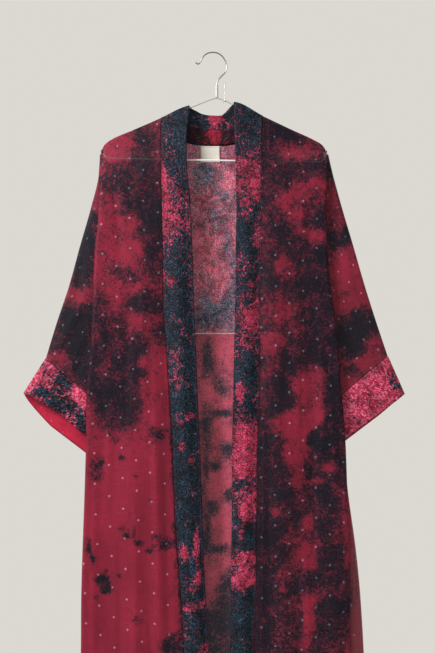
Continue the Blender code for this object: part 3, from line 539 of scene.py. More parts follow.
def side_section(side, face, drop):
    """Points (x, y) from the roll to the seam, for a column of drops: an arc of a circle,
    then a straight stretch turned in, which ends in a quarter ellipse to the seam."""
    drop = np.asarray(drop, float).reshape(-1, 1)
    start_x, depth, radius = roll_start(side, face, drop)
    angle = np.radians(smooth(SIDE_ROLL, 1, drop))
    length = smooth(SIDE_ROLL, 2 if side < 0 else 3, drop)
    if face > 0:
        length = length + side * (side_edge(side, 1, drop) - side_edge(side, -1, drop))
    closing = smooth(SIDE_ROLL, 4, drop)
    turn = angle * np.linspace(0.0, 1.0, ARC_POINTS)[1:]
    arc_out, arc_back = radius * np.sin(turn), radius * (1 - np.cos(turn))
    curve = np.minimum(SEAM_CURVE, length)
    full = depth - arc_back[:, -1:] - CLOSED_SEAM
    mark = length * (1 - (1 - np.linspace(0.0, 1.0, TURNED_POINTS)[1:]) ** 1.7)
    gone = np.clip((length - mark) / curve, 0.0, 1.0)
    rise = closing * full * (1 - np.sqrt(np.maximum(0.0, 1 - (1 - gone) ** 2)))
    out = np.concatenate([arc_out, arc_out[:, -1:] + mark * np.cos(angle)], 1)
    back = np.concatenate([arc_back, arc_back[:, -1:] + mark * np.sin(angle) + rise], 1)
    return start_x + side * out, face * (depth - back)


def row_drops(top):
    """Drops of the rows: closer together near the shoulder, even below the first level."""
    near = np.linspace(0.0, 1.0, SHOULDER_ROWS)[:, None] ** 2
    shoulder = top + (FIRST_LEVEL - top) * near
    parts = [shoulder]
    for first, last in ((FIRST_LEVEL, YOKE_FOOT), (YOKE_FOOT, HEM)):
        count = int(round((last - first) / FINE_STEP))
        level = np.linspace(first, last, count + 1)[1:, None]
        parts.append(level + np.zeros_like(top))
    return np.concatenate(parts)


def dye_and_shade_field(patches, x, drop, base, red_limit=0.6, dark_limit=0.6):
    """Sum of the patches: strength times e^(-(dx / half width)^2 - (dy / half length)^2),
    held back by a tanh on both sides, so that red flecks show in every dark patch."""
    total = np.full(x.shape, float(base))
    for at_x, at_drop, width, length, strength in patches:
        total = total + strength * np.exp(
            -((x - at_x) / width) ** 2 - ((drop - at_drop) / length) ** 2)
    limit = np.where(total > 0, dark_limit, red_limit)
    return limit * np.tanh(total / limit)


def cloth_map(x, y, drop, ring=False, at=0, lead=0.0, fall=0.0, whole=False):
    """Cloth map in metres: distances across the cloth from the column named by at, whose
    place is lead, and distances down the cloth, moved by fall. Rows of a ring or of a
    whole map may move sideways."""
    if ring:
        x, y, drop = [np.concatenate([part, part[:, :1]], 1) for part in (x, y, drop)]
    across = np.sqrt(np.diff(x, axis=1) ** 2 + np.diff(y, axis=1) ** 2 + np.diff(drop, axis=1) ** 2)
    sideways = np.diff(x, axis=0) * (ring or whole)
    down = np.sqrt(sideways ** 2 + np.diff(y, axis=0) ** 2 + np.diff(drop, axis=0) ** 2)
    u = np.concatenate([np.zeros((len(x), 1)), np.cumsum(across, 1)], 1)
    v = np.concatenate([np.zeros((1, x.shape[1])), np.cumsum(down, 0)], 0)
    return (u - u[:, at:at + 1] + lead) * MM, -(v + drop[:1] + fall) * MM


def new_object(name, data):
    """An object in the scene."""
    made = bpy.data.objects.new(name, data)
    bpy.context.scene.collection.objects.link(made)
    return made


def cloth(name, grid, wall, skins, nodes, dye_and_shade, edge, flip=False, ring=False, uv=None,
          sheer=0.0, shade_crease=0.0):
    """A cloth piece from its inner face: grid is x, y and drop; skins are the materials of
    its outer and inner face; dye (with a few patches of painted shade), edge, sheer and crease
    (the heights that set the painted crease shade) are values at its points, and uv its cloth map."""
    x, y, drop = grid
    rows, cols = x.shape
    points = np.stack([x, y, -drop], -1).reshape(-1, 3) * MM
    u, v = uv if uv is not None else cloth_map(x, y, drop, ring)

    def quads(width, closed):
        index = np.arange(rows * width).reshape(rows, width)
        if closed:
            index = np.concatenate([index, index[:, :1]], 1)
        corners = index[:-1, :-1], index[:-1, 1:], index[1:, 1:], index[1:, :-1]
        found = np.stack(corners, -1).reshape(-1, 4)
        return found[:, ::-1] if flip else found

    faces = quads(cols, ring)
    mesh = bpy.data.meshes.new(name)
    mesh.from_pydata(points.tolist(), [], faces.tolist())
    mesh.shade_smooth()
    corners = quads(u.shape[1], False).ravel()
    layer = mesh.uv_layers.new(name="Cloth")
    layer.data.foreach_set("uv", np.stack([u.ravel()[corners], v.ravel()[corners]], -1).ravel())
    for label, values in (("Dye and shade", dye_and_shade), ("Edge", edge), ("Sheer", sheer), ("Crease shade", shade_crease)):
        store = mesh.attributes.new(label, 'FLOAT', 'POINT')
        store.data.foreach_set("value", np.broadcast_to(values, x.shape).ravel())
    piece = new_object(name, mesh)
    for skin in skins:
        mesh.materials.append(skin)
    shell = piece.modifiers.new("Wall", 'SOLIDIFY')
    shell.thickness = wall * MM
    shell.offset = 1.0
    shell.use_quality_normals = True
    shell.material_offset = len(skins) - 1
    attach(piece, "root")
    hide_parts(*nodes)
    return piece


def hem_turning(distance):
    """Extra height of the doubled cloth along a hem, by the distance from its edge."""
    return HEM_STEP * (1 - ease((distance - HEM_TURNING) / 2 + 0.5))


def front_grid(side, creases):
    """A front from its band seam across to the side edge and round it to the side seam.
    Gives the grid, and how far each point is from the nearest sewn edge."""
    seam = 1 if side < 0 else 4
    top_seam = BANDS[0][seam] + side * BAND_SEAM_GAP
    top_edge = roll_start(side, -1, SHOULDER_CORNER)[0]
    share = np.linspace(0.0, 1.0, int(200 / FINE_STEP))
    drop = row_drops(ridge_drop(top_seam + (top_edge - top_seam) * share))
    inner = smooth(BANDS, seam, drop) + side * BAND_SEAM_GAP
    outer = roll_start(side, -1, drop)[0]
    x = inner + (outer - inner) * share
    free = ease(share / 0.06) * ease((1 - share) / 0.1) * ease((drop - drop[:1]) / 30)
    lift = crease_height(creases, x, drop) + ripple(x, drop, 0.5)
    turned = hem_turning(HEM - drop) * ease((1 - share) / 0.1)
    y = -front_depth(side, x, drop) - lift * free - turned
    side_x, side_y = side_section(side, -1, drop[:, -1])
    side_drop = drop[:, -1:] + np.zeros_like(side_x)
    grid = [np.concatenate(pair, 1) for pair in ((x, side_x), (y, side_y), (drop, side_drop))]
    return grid, np.minimum(HEM - grid[2], np.abs(grid[0] - inner[:, :1]))


def back_grid():
    """The whole back from the left side seam to the right one, as the solids have it."""
    left = roll_start(-1, 1, SHOULDER_CORNER)[0]
    right = roll_start(1, 1, SHOULDER_CORNER)[0]
    neck_x = column(NECKBAND, 2)
    kept = np.concatenate([[neck_x[0] - BAND_SEAM_GAP], neck_x[2:-2], [neck_x[-1] + BAND_SEAM_GAP]])
    even = np.linspace(left, right, int((right - left) / FINE_STEP))
    near = np.abs(even[:, None] - kept[None]).min(1) < 1.2
    top_x = np.sort(np.concatenate([even[~near], kept]))
    seam_line = np.stack([neck_x, column(NECKBAND, 3) + BAND_SEAM_GAP], 1)
    seam = smooth(seam_line, 1, top_x)
    in_neck = (top_x >= neck_x[0]) & (top_x <= neck_x[-1])
    top = np.where(in_neck, seam, ridge_drop(top_x))
    drop = row_drops(top)
    share = (top_x - left) / (right - left)
    edge_left = roll_start(-1, 1, drop)[0]
    edge_right = roll_start(1, 1, drop)[0]
    x = edge_left + (edge_right - edge_left) * share
    sides = ease(share / 0.06) * ease((1 - share) / 0.06)
    at_seam = np.exp(-((drop - YOKE_FOOT) / 20) ** 2)
    free = sides * ease((drop - drop[:1]) / 40) * (1 - 0.8 * at_seam)
    lift = crease_height(BACK_CREASES, x, drop) + ripple(x + 400, drop, 0.5)
    y = back_depth(1, x, drop) + lift * free + hem_turning(HEM - drop) * sides
    parts = [[x], [y], [drop]]
    for side in (-1, 1):
        side_drop = drop[:, 0 if side < 0 else -1]
        side_x, side_y = side_section(side, 1, side_drop)
        added = (side_x, side_y, side_drop[:, None] + np.zeros_like(side_x))
        for part, more in zip(parts, added):
            part.insert(0 if side < 0 else len(part), more[:, ::-1] if side < 0 else more)
    return [np.concatenate(part, 1) for part in parts]


def band_grid(side, creases):
    """Neckband down one front: crowned across as a squared sine, its free edge leaning back
    with the square of the drop, and drawn into small creases."""
    seam_column, edge_column = (1, 2) if side < 0 else (4, 3)
    share = np.linspace(0.0, 1.0, 26)
    top_edge = BANDS[0][edge_column]
    drop = row_drops(ridge_drop(top_edge + (BANDS[0][seam_column] - top_edge) * share))
    edge = smooth(BANDS, edge_column, drop)
    seam = smooth(BANDS, seam_column, drop)
    x = edge + (seam - edge) * share
    crown = BAND_CROWN * growth(drop, CROWN_DROPS) * np.sin(np.pi * share) ** 2
    lean = BAND_LEAN * (drop / HEM) ** 2 * (1 - share) ** 2
    free = np.sin(np.pi * np.clip(share, 0.02, 0.98)) ** 0.6 * ease((drop - drop[:1]) / 30)
    lift = crease_height(creases, x, drop) + ripple(x * 1.7, drop * 1.3, 0.35)
    y = -front_depth(side, x, drop) - crown + lean - lift * free
    return (x, y, drop), np.minimum(np.abs(x - edge), np.abs(x - seam))


def neckband_grid(first, last, shares, inwards):
    """The neckband behind the neck between two rows of its table, at shares of its width."""
    table = [(float(i),) + row for i, row in enumerate(NECKBAND)]
    at = np.linspace(first, last, int((last - first) * 7) + 1)[:, None]
    edge_x, edge_drop, seam_x, seam_drop = [smooth(table, k, at) for k in (1, 2, 3, 4)]
    shares = np.asarray(shares)
    x = edge_x + (seam_x - edge_x) * shares
    drop = edge_drop + (seam_drop - edge_drop) * shares
    return x, back_depth(1, x, drop) - inwards, drop


def lens(shares):
    """Half depth of a flattened tube across its width, as a share of the most."""
    return np.sqrt(np.maximum(0.0, 1 - (2 * shares - 1) ** 6))


def ring_shares():
    """Shares from the upper fold to the lower fold, closer together at both folds."""
    return (1 - np.cos(np.pi * np.linspace(0.0, 1.0, 84))) / 2


def sleeve_rings(side, table, along):
    """Rings of the sleeve at positions along it: the armhole curve, blending into straight
    flat sections. Gives x outwards, the drop, and the half depths of its two layers."""
    shares = ring_shares()[None]
    along = np.asarray(along, float)[:, None]
    top_x, top_drop, foot_x, foot_drop = [smooth(table, k, along) for k in range(1, 5)]
    strand_drop = table[0][2] + (table[0][4] - table[0][2]) * shares[0]
    strands = []
    for face in (-1, 1):
        seam_x, seam_y = side_section(side, face, strand_drop)
        strand = np.maximum(LEAST_ARMHOLE_DEPTH, np.abs(seam_y[:, -1]) - ARMHOLE_LAP)
        strand[0] = strand[-1] = 0.0
        strands.append(strand[None])
        if face < 0:
            outs = side * seam_x[:, -1]
    outs[0] = table[0][1]
    bend = (outs - table[0][1] - (table[0][3] - table[0][1]) * shares) * (1 - along) ** 2
    x = top_x + (foot_x - top_x) * shares + bend
    drop = top_drop + (foot_drop - top_drop) * shares
    blend = ease(along / FLAT_FROM)
    halves = []
    for face, strand in zip((-1, 1), strands):
        start, depth, radius = roll_start(side, face, drop)
        beyond = np.maximum(0.0, x - np.abs(start) - radius)
        room = depth - 2 * radius - ARMHOLE_LAP + ROOM_GAIN * beyond
        flat = np.minimum(SLEEVE_DEPTH * lens(shares), room)
        halves.append(strand + (flat - strand) * blend)
    return x, drop, halves[0], halves[1]


def ring_grid(side, x, drop, front, back, back_extra=0.0):
    """Rings: the upper fold, the front layer, the lower fold, and the back layer."""
    back_drop = drop + back_extra
    xs = np.concatenate([side * x, (side * x)[:, -2:0:-1]], 1)
    ys = np.concatenate([-front, back[:, -2:0:-1]], 1)
    return xs, ys, np.concatenate([drop, back_drop[:, -2:0:-1]], 1)


def sleeve_grid(side, table, creases):
    """The sleeve from the armhole to the cuff seam, with its creases outside the body."""
    along = 1 - (1 - np.linspace(0.0, 1.0, 130)) ** 1.15
    along[-1] = 0.9985
    x, drop, front, back = sleeve_rings(side, table, along)
    free = lens(ring_shares())[None] * ease((along[:, None] - 0.35) / 0.3)
    lift = crease_height(creases, x, drop) + ripple(x * 1.3, drop, 0.4)
    return ring_grid(side, x, drop, front + lift * free, back + 0.8 * lift * free)


def cuff_grid(side, table, hem):
    """The cuff from its seam to the open hem, whose back layer hangs lower."""
    shares = ring_shares()[None]
    seam_x, seam_drop, flat, _ = sleeve_rings(side, table, [1.0])
    (top_x, top_drop), (foot_x, foot_drop) = hem["top"], hem["foot"]
    bow = hem["bow"] * 4 * shares * (1 - shares)
    hem_x = top_x + (foot_x - top_x) * shares
    hem_drop = top_drop + (foot_drop - top_drop) * shares - bow
    lower = hem["back"] * np.minimum(1.0, np.sqrt(shares / BACK_HEM_SHARE)) + bow
    part = np.linspace(0.004, 1.0, 34)[:, None]
    x = seam_x + (hem_x - seam_x) * part
    drop = seam_drop + (hem_drop - seam_drop) * part
    half = flat * (1 + CUFF_FLARE * part * (1 - shares))
    lift = crease_height(CUFF_CREASES, x, drop) + ripple(x * 1.6, drop * 1.4, 0.35)
    lift = lift * lens(shares) * ease(part / 0.2)
    grid = ring_grid(side, x, drop, half + lift, half + 0.7 * lift, lower * part)
    length = np.hypot(hem_x - seam_x, hem_drop - seam_drop)
    edge = np.minimum(part, 1 - part) * length
    return grid, np.concatenate([edge, edge[:, -2:0:-1]], 1)


def feed(tree, socket, value):
    """Links a socket to an input, or sets its value."""
    if isinstance(value, bpy.types.NodeSocket):
        tree.links.new(value, socket)
    else:
        socket.default_value = value


def add(tree, kind, inputs=None, **settings):
    """A node with its settings; inputs gives sockets to link and values to set."""
    made = tree.nodes.new(kind)
    for key, value in settings.items():
        setattr(made, key, value)
    for key, value in (inputs or {}).items():
        feed(tree, made.inputs[key], value)
    return made


def calc(tree, operation, *values, clamp=False):
    """A Math node's result."""
    inputs = dict(enumerate(values))
    return add(tree, 'ShaderNodeMath', inputs, operation=operation, use_clamp=clamp).outputs[0]


def blend_colours(tree, share, first, second, mode='MIX'):
    """A colour between two, or their product, by a share."""
    made = add(tree, 'ShaderNodeMix', data_type='RGBA', blend_type=mode)
    for index, value in ((0, share), (6, first), (7, second)):
        feed(tree, made.inputs[index], value)
    return made.outputs[2]


def step_up(tree, value, low, high):
    """A soft step from 0 at low to 1 at high."""
    inputs = {"Value": value, "From Min": low, "From Max": high}
    return add(tree, 'ShaderNodeMapRange', inputs, interpolation_type='SMOOTHSTEP').outputs[0]


def step_down(tree, value, low, high):
    """A soft step from 1 at low to 0 at high."""
    return calc(tree, 'SUBTRACT', 1.0, step_up(tree, value, low, high))


def noise(tree, place, scale, detail=4.0, roughness=0.6, distortion=0.0):
    """Noise about zero."""
    inputs = {
        "Vector": place, "Scale": scale, "Detail": detail, "Roughness": roughness,
        "Distortion": distortion,
    }
    return calc(tree, 'SUBTRACT', add(tree, 'ShaderNodeTexNoise', inputs).outputs[0], 0.5)


def effect(name, inputs, outputs):
    """An empty shader node group with named sockets: its tree, its inputs and its outputs."""
    tree = bpy.data.node_groups.new(name, 'ShaderNodeTree')
    for label, kind, value in inputs:
        socket = tree.interface.new_socket(label, in_out='INPUT', socket_type="NodeSocket" + kind)
        if value is not None:
            socket.default_value = value
    for label in outputs:
        tree.interface.new_socket(label, in_out='OUTPUT', socket_type="NodeSocketFloat")
    return tree, tree.nodes.new('NodeGroupInput').outputs, tree.nodes.new('NodeGroupOutput').inputs


def dye_effect():
    """Dyed patches and a few of painted shade, with feathered, lacy rims: the field of patches
    plus slow, lacy and fine noise, then a soft step. Gives the dark share and a slow tone."""
    tree, source, result = effect("Dip dye and shade", (
        ("Field", "Float", 0.0), ("Place", "Vector", None), ("Feather", "Float", 1.6),
        ("Lace", "Float", 3.3), ("Softness", "Float", 0.6)), ("Dark", "Tone"))
    slow = noise(tree, source["Place"], 26.0, 3.0, 0.6, 0.4)
    lace = noise(tree, source["Place"], 120.0, 5.0, 0.66, 1.4)
    fine = noise(tree, source["Place"], 380.0, 3.0, 0.65)
    winding = calc(tree, 'ABSOLUTE', noise(tree, source["Place"], 62.0, 5.0, 0.62, 1.0))
    vein = step_down(tree, winding, 0.0, 0.05)
    value = calc(tree, 'MULTIPLY_ADD', slow, source["Feather"], source["Field"])
    value = calc(tree, 'MULTIPLY_ADD', lace, source["Lace"], value)
    value = calc(tree, 'MULTIPLY_ADD', fine, 1.6, value)
    value = calc(tree, 'MULTIPLY_ADD', vein, 0.3, value)
    low = calc(tree, 'MULTIPLY', source["Softness"], -1.0)
    tree.links.new(step_up(tree, value, low, source["Softness"]), result["Dark"])
    tone = noise(tree, source["Place"], 9.0, 4.0, 0.55)
    tree.links.new(tone, result["Tone"])
    return tree


def dots_effect():
    """Small woven diamonds on a lattice whose columns step down by a share of the pitch:
    |dx| + |dy| from the nearest lattice point, less a paler heart. Gives their mask."""
    tree, source, result = effect("Woven dots", (
        ("Cloth", "Vector", None), ("Column", "Float", 0.0255), ("Row", "Float", 0.055),
        ("Step", "Float", 0.41), ("Size", "Float", 0.0026)), ("Mask",))
    warp = noise(tree, source["Cloth"], 14.0, 2.0)
    parts = add(tree, 'ShaderNodeSeparateXYZ', {"Vector": source["Cloth"]}).outputs
    across = calc(tree, 'MULTIPLY_ADD', warp, 0.006, parts["X"])
    down = calc(tree, 'MULTIPLY_ADD', warp, 0.009, calc(tree, 'MULTIPLY', parts["Y"], -1.0))
    column_at = calc(tree, 'ADD', calc(tree, 'DIVIDE', across, source["Column"]), 0.41)
    column_no = calc(tree, 'ROUND', column_at)
    row_at = calc(tree, 'ADD', calc(tree, 'DIVIDE', down, source["Row"]), 0.3155)
    row_at = calc(tree, 'MULTIPLY_ADD', column_no, source["Step"], row_at)
    off_x = calc(tree, 'ABSOLUTE', calc(tree, 'SUBTRACT', column_at, column_no))
    off_y = calc(tree, 'ABSOLUTE', calc(tree, 'SUBTRACT', row_at, calc(tree, 'ROUND', row_at)))
    far = calc(tree, 'MULTIPLY', off_x, source["Column"])
    far = calc(tree, 'MULTIPLY_ADD', off_y, source["Row"], far)
    far = calc(tree, 'DIVIDE', far, source["Size"])
    rim = step_down(tree, far, 0.75, 1.15)
    heart = calc(tree, 'MULTIPLY_ADD', step_up(tree, far, 0.15, 0.45), 0.35, 0.65)
    tree.links.new(calc(tree, 'MULTIPLY', rim, heart), result["Mask"])
    return tree


def weave_effect():
    """Plain weave: the product of two sines at the thread pitch, with slubs that run along
    the threads both ways. Gives height and tone."""
    tree, source, result = effect("Silk weave", (
        ("Cloth", "Vector", None), ("Pitch", "Float", 0.0011)), ("Height", "Tone"))
    parts = add(tree, 'ShaderNodeSeparateXYZ', {"Vector": source["Cloth"]}).outputs
    waves = []
    for part in (parts["X"], parts["Y"]):
        turn = calc(tree, 'DIVIDE', calc(tree, 'MULTIPLY', part, 2 * np.pi), source["Pitch"])
        waves.append(calc(tree, 'SINE', turn))
    woven = calc(tree, 'MULTIPLY', *waves)
    slubs = []
    for scale in ((30.0, 900.0, 1.0), (900.0, 22.0, 1.0)):
        place = add(tree, 'ShaderNodeMapping', {"Vector": source["Cloth"], "Scale": scale})
        slubs.append(noise(tree, place.outputs[0], 1.0, 3.0, 0.6))
    slub = calc(tree, 'ADD', *slubs)
    tree.links.new(calc(tree, 'MULTIPLY_ADD', woven, 0.3, slub), result["Height"])
    tree.links.new(slub, result["Tone"])
    return tree


def figure_effect():
    """Figured silk: winding lines where a warped noise crosses whole steps, and small buds
    where a cell pattern is near its centres. Gives the mask of the raised figure."""
    tree, source, result = effect("Figured silk", (
        ("Cloth", "Vector", None), ("Scale", "Float", 104.0), ("Turns", "Float", 6.0)), ("Line",))
    place = source["Cloth"]
    bend = add(tree, 'ShaderNodeTexNoise', {
        "Vector": place, "Scale": source["Scale"], "Detail": 1.2, "Roughness": 0.45,
        "Distortion": 0.7}).outputs[0]
    steps = calc(tree, 'FRACT', calc(tree, 'MULTIPLY', bend, source["Turns"]))
    off = calc(tree, 'ABSOLUTE', calc(tree, 'SUBTRACT', steps, 0.5))
    line = step_down(tree, off, 0.07, 0.2)
    cells = add(tree, 'ShaderNodeTexVoronoi', {
        "Vector": place, "Scale": calc(tree, 'MULTIPLY', source["Scale"], 2.1),
        "Randomness": 0.85}, voronoi_dimensions='2D').outputs["Distance"]
    bud = step_down(tree, cells, 0.16, 0.3)
    grain = noise(tree, place, 1100.0, 2.0, 0.6)
    both = calc(tree, 'MAXIMUM', line, calc(tree, 'MULTIPLY', bud, 0.8))
    tree.links.new(calc(tree, 'MULTIPLY_ADD', grain, 0.9, both, clamp=True), result["Line"])
    return tree


def stitch_effect():
    """A row of stitches at a set distance from the sewn edge, in dashes along it, and painted
    shade in the seam itself. Gives both masks."""
    tree, source, result = effect("Stitches", (
        ("Edge", "Float", 0.0), ("Cloth", "Vector", None), ("Distance", "Float", 4.0),
        ("Length", "Float", 0.0034)), ("Thread", "Seam"))
    parts = add(tree, 'ShaderNodeSeparateXYZ', {"Vector": source["Cloth"]}).outputs
    along = calc(tree, 'DIVIDE', calc(tree, 'ADD', parts["X"], parts["Y"]), source["Length"])
    dash = calc(tree, 'SUBTRACT', calc(tree, 'ABSOLUTE', calc(
        tree, 'SUBTRACT', calc(tree, 'FRACT', along), 0.5)), 0.36)
    dash = step_down(tree, dash, -0.04, 0.04)
    off = calc(tree, 'ABSOLUTE', calc(tree, 'SUBTRACT', source["Edge"], source["Distance"]))
    row = step_down(tree, off, 0.25, 0.6)
    tree.links.new(calc(tree, 'MULTIPLY', row, dash), result["Thread"])
    # Painted seam shade: darker from 3 mm in towards the sewn edge
    seam = step_down(tree, source["Edge"], 0.4, 3.0)
    tree.links.new(seam, result["Seam"])
    return tree


EFFECTS = {
    "dye_and_shade": dye_effect(), "dots": dots_effect(), "weave": weave_effect(),
    "figure": figure_effect(), "stitches": stitch_effect(),
}


def use(tree, effect_name, **inputs):
    """An effect placed in a material; its results by name."""
    return add(tree, 'ShaderNodeGroup', inputs, node_tree=EFFECTS[effect_name]).outputs


def colour(red, green, blue):
    """A colour given on the screen's scale from 0 to 255, as a linear colour."""
    share = np.array([red, green, blue]) / 255
    linear = np.where(share <= 0.04045, share / 12.92, ((share + 0.055) / 1.055) ** 2.4)
    return (*[float(v) for v in linear], 1.0)


def finish_material(name, roughness, alpha=1.0, sheen=0.0, metallic=0.0, specular=0.5):
    """A new Principled material: the material, its tree and its shader."""
    made = bpy.data.materials.new(name)
    made.use_nodes = True
    tree = made.node_tree
    shader = tree.nodes["Principled BSDF"]
    for key, value in (
            ("Roughness", roughness), ("Alpha", alpha), ("Sheen Weight", sheen),
            ("Sheen Roughness", 0.35), ("Metallic", metallic), ("Specular IOR Level", specular)):
        shader.inputs[key].default_value = value
    return made, tree, shader


def cloth_inputs(tree):
    """The cloth map, the place in the object, and the values of dye (with a few patches of painted
    shade) and edge of a cloth.
    """
    cloth_uv = add(tree, 'ShaderNodeUVMap', uv_map="Cloth").outputs[0]
    place = add(tree, 'ShaderNodeTexCoord').outputs["Object"]
    dye_and_shade = add(tree, 'ShaderNodeAttribute', attribute_name="Dye and shade").outputs["Fac"]
    edge = add(tree, 'ShaderNodeAttribute', attribute_name="Edge").outputs["Fac"]
    return cloth_uv, place, dye_and_shade, edge


def thin_out(tree, shader, alpha):
    """Cover that falls from alpha where the cloth is sheer."""
    sheer = add(tree, 'ShaderNodeAttribute', attribute_name="Sheer").outputs["Fac"]
    cover = calc(tree, 'MULTIPLY_ADD', sheer, -SHEER_LOSS, alpha, clamp=True)
    tree.links.new(cover, shader.inputs["Alpha"])


def painted_crease_shade(tree, share, tone):
    """Painted crease shade and light: a tone made deeper in a trough and lighter on a ridge, by
    the share for each millimetre of the crease."""
    shade_crease = add(tree, 'ShaderNodeAttribute', attribute_name="Crease shade").outputs["Fac"]
    crease_shade_factor = calc(tree, 'MAXIMUM', calc(tree, 'MULTIPLY_ADD', shade_crease, share, 1.0), 0.3)
    return calc(tree, 'MULTIPLY', crease_shade_factor, tone)


def raise_surface(tree, shader, heights, distance):
    """Bump from the sum of heights, each with its share."""
    total = 0.0
    for height, share in heights:
        total = calc(tree, 'MULTIPLY_ADD', height, share, total)
    bump = add(tree, 'ShaderNodeBump', {"Height": total, "Strength": 0.5, "Distance": distance})
    tree.links.new(bump.outputs[0], shader.inputs["Normal"])


def dyed_silk(name, red, maroon, dark, alpha, dot_share, selvedge=0.0, lace=3.3, softness=0.6):
    """Thin dip-dyed silk: red and dark with a maroon rim between, pale woven dots, a plain
    weave with slubs, a row of stitches along the hems, and a pale selvedge inside."""
    made, tree, shader = finish_material(name, 0.6, alpha, 0.05, specular=0.18)
    cloth_uv, place, field, edge = cloth_inputs(tree)
    dye_and_shade = use(tree, "dye_and_shade", Field=field, Place=place, Lace=lace, Softness=softness)
    weave = use(tree, "weave", Cloth=cloth_uv)
    dots = use(tree, "dots", Cloth=cloth_uv)["Mask"]
    sewn = use(tree, "stitches", Edge=edge, Cloth=cloth_uv, Distance=11.0)
    ramp = add(tree, 'ShaderNodeValToRGB', {"Fac": dye_and_shade["Dark"]})
    stops = ramp.color_ramp.elements
    stops[0].color, stops[1].color = red, dark
    stops.new(0.3).color = tuple(0.7 * r + 0.3 * m for r, m in zip(red, maroon))
    stops.new(0.68).color = maroon
    base = ramp.outputs[0]
    tone = calc(tree, 'MULTIPLY_ADD', dye_and_shade["Tone"], 1.0, 1.0)
    tone = calc(tree, 'MULTIPLY_ADD', weave["Tone"], 0.7, tone)
    # Painted seam shade: the tone is darkened near the sewn edges
    tone = calc(tree, 'MULTIPLY_ADD', sewn["Seam"], -0.45, tone)
    # Painted crease shade: the tone is darkened in troughs and lightened on ridges by crease height
    tone = painted_crease_shade(tree, SILK_PAINTED_CREASE_SHADE, tone)
    base = blend_colours(tree, 1.0, base, tone, 'MULTIPLY')
    pale = blend_colours(tree, dye_and_shade["Dark"], colour(214, 150, 168), colour(104, 114, 130))
    base = blend_colours(tree, calc(tree, 'MULTIPLY', dots, dot_share), base, pale)
    thread = calc(tree, 'MULTIPLY', sewn["Thread"], 0.4)
    base = blend_colours(tree, thread, base, colour(120, 40, 60))
    rim = step_down(tree, edge, 1.6, 2.6)
    base = blend_colours(tree, calc(tree, 'MULTIPLY', rim, selvedge), base, colour(226, 196, 186))
    tree.links.new(base, shader.inputs["Base Color"])
    thin_out(tree, shader, alpha)
    crinkle = noise(tree, place, 60.0, 5.0, 0.6, 0.8)
    raise_surface(tree, shader, (
        (weave["Height"], 0.25), (crinkle, 1.4), (dots, 0.5), (sewn["Thread"], 0.6)), 0.0011)
    return made


def figured_silk(name, ground, line, dark_ground, dark_line, alpha, softness=0.25, scale=104.0,
                 lace=4.2):
    """Figured silk: a raised pale figure on its ground, and the same in dark dye, deeper in
    slow blotches."""
    made, tree, shader = finish_material(name, 0.5, alpha, 0.05, specular=0.16)
    cloth_uv, place, field, edge = cloth_inputs(tree)
    dye_and_shade = use(tree, "dye_and_shade", Field=field, Place=place, Feather=2.0, Lace=lace, Softness=softness)
    weave = use(tree, "weave", Cloth=cloth_uv)
    figure = use(tree, "figure", Cloth=cloth_uv, Scale=scale)["Line"]
    sewn = use(tree, "stitches", Edge=edge, Cloth=cloth_uv, Distance=3.0)
    lit = blend_colours(tree, figure, ground, line)
    deep = blend_colours(tree, figure, dark_ground, dark_line)
    base = blend_colours(tree, dye_and_shade["Dark"], lit, deep)
    tone = calc(tree, 'MULTIPLY_ADD', dye_and_shade["Tone"], 0.9, 1.0)
    tone = calc(tree, 'MULTIPLY_ADD', noise(tree, place, 46.0, 5.0, 0.66, 0.8), 3.2, tone)
    tone = calc(tree, 'MAXIMUM', calc(tree, 'MULTIPLY_ADD', weave["Tone"], 0.5, tone), 0.2)
    # Painted seam shade: the tone is darkened near the sewn edges
    tone = calc(tree, 'MULTIPLY_ADD', sewn["Seam"], -0.12, tone)
    # Painted crease shade: the tone is darkened in troughs and lightened on ridges by crease height
    tone = painted_crease_shade(tree, FIGURED_PAINTED_CREASE_SHADE, tone)
    base = blend_colours(tree, 1.0, base, tone, 'MULTIPLY')
    base = blend_colours(tree, calc(tree, 'MULTIPLY', sewn["Thread"], 0.12), base, line)
    tree.links.new(base, shader.inputs["Base Color"])
    gloss = calc(tree, 'MULTIPLY_ADD', figure, -0.14, 0.58)
    tree.links.new(gloss, shader.inputs["Roughness"])
    crinkle = noise(tree, place, 70.0, 4.0, 0.6, 0.6)
    raise_surface(tree, shader, (
        (weave["Height"], 0.3), (figure, 0.55), (crinkle, 1.2), (sewn["Thread"], 0.5)), 0.0012)
    return made


def label_cloth():
    """Cream woven label: satin threads, painted shade along its edge, and its row of stitches."""
    made, tree, shader = finish_material("Label cloth", 0.7, 1.0, 0.2)
    cloth_uv, _, _, edge = cloth_inputs(tree)
    weave = use(tree, "weave", Cloth=cloth_uv, Pitch=0.0008)
    sewn = use(tree, "stitches", Edge=edge, Cloth=cloth_uv, Distance=2.0, Length=0.0026)
    tone = calc(tree, 'MULTIPLY_ADD', weave["Tone"], 0.3, 1.0)
    # Painted seam shade: the tone is darkened near the label's edge
    tone = calc(tree, 'MULTIPLY_ADD', sewn["Seam"], -0.12, tone)
    base = blend_colours(tree, 1.0, colour(228, 222, 210), tone, 'MULTIPLY')
    thread = calc(tree, 'MULTIPLY', sewn["Thread"], 0.5)
    base = blend_colours(tree, thread, base, colour(170, 158, 136))
    tree.links.new(base, shader.inputs["Base Color"])
    raise_surface(tree, shader, ((weave["Height"], 0.4), (sewn["Thread"], 0.8)), 0.0006)
    return made


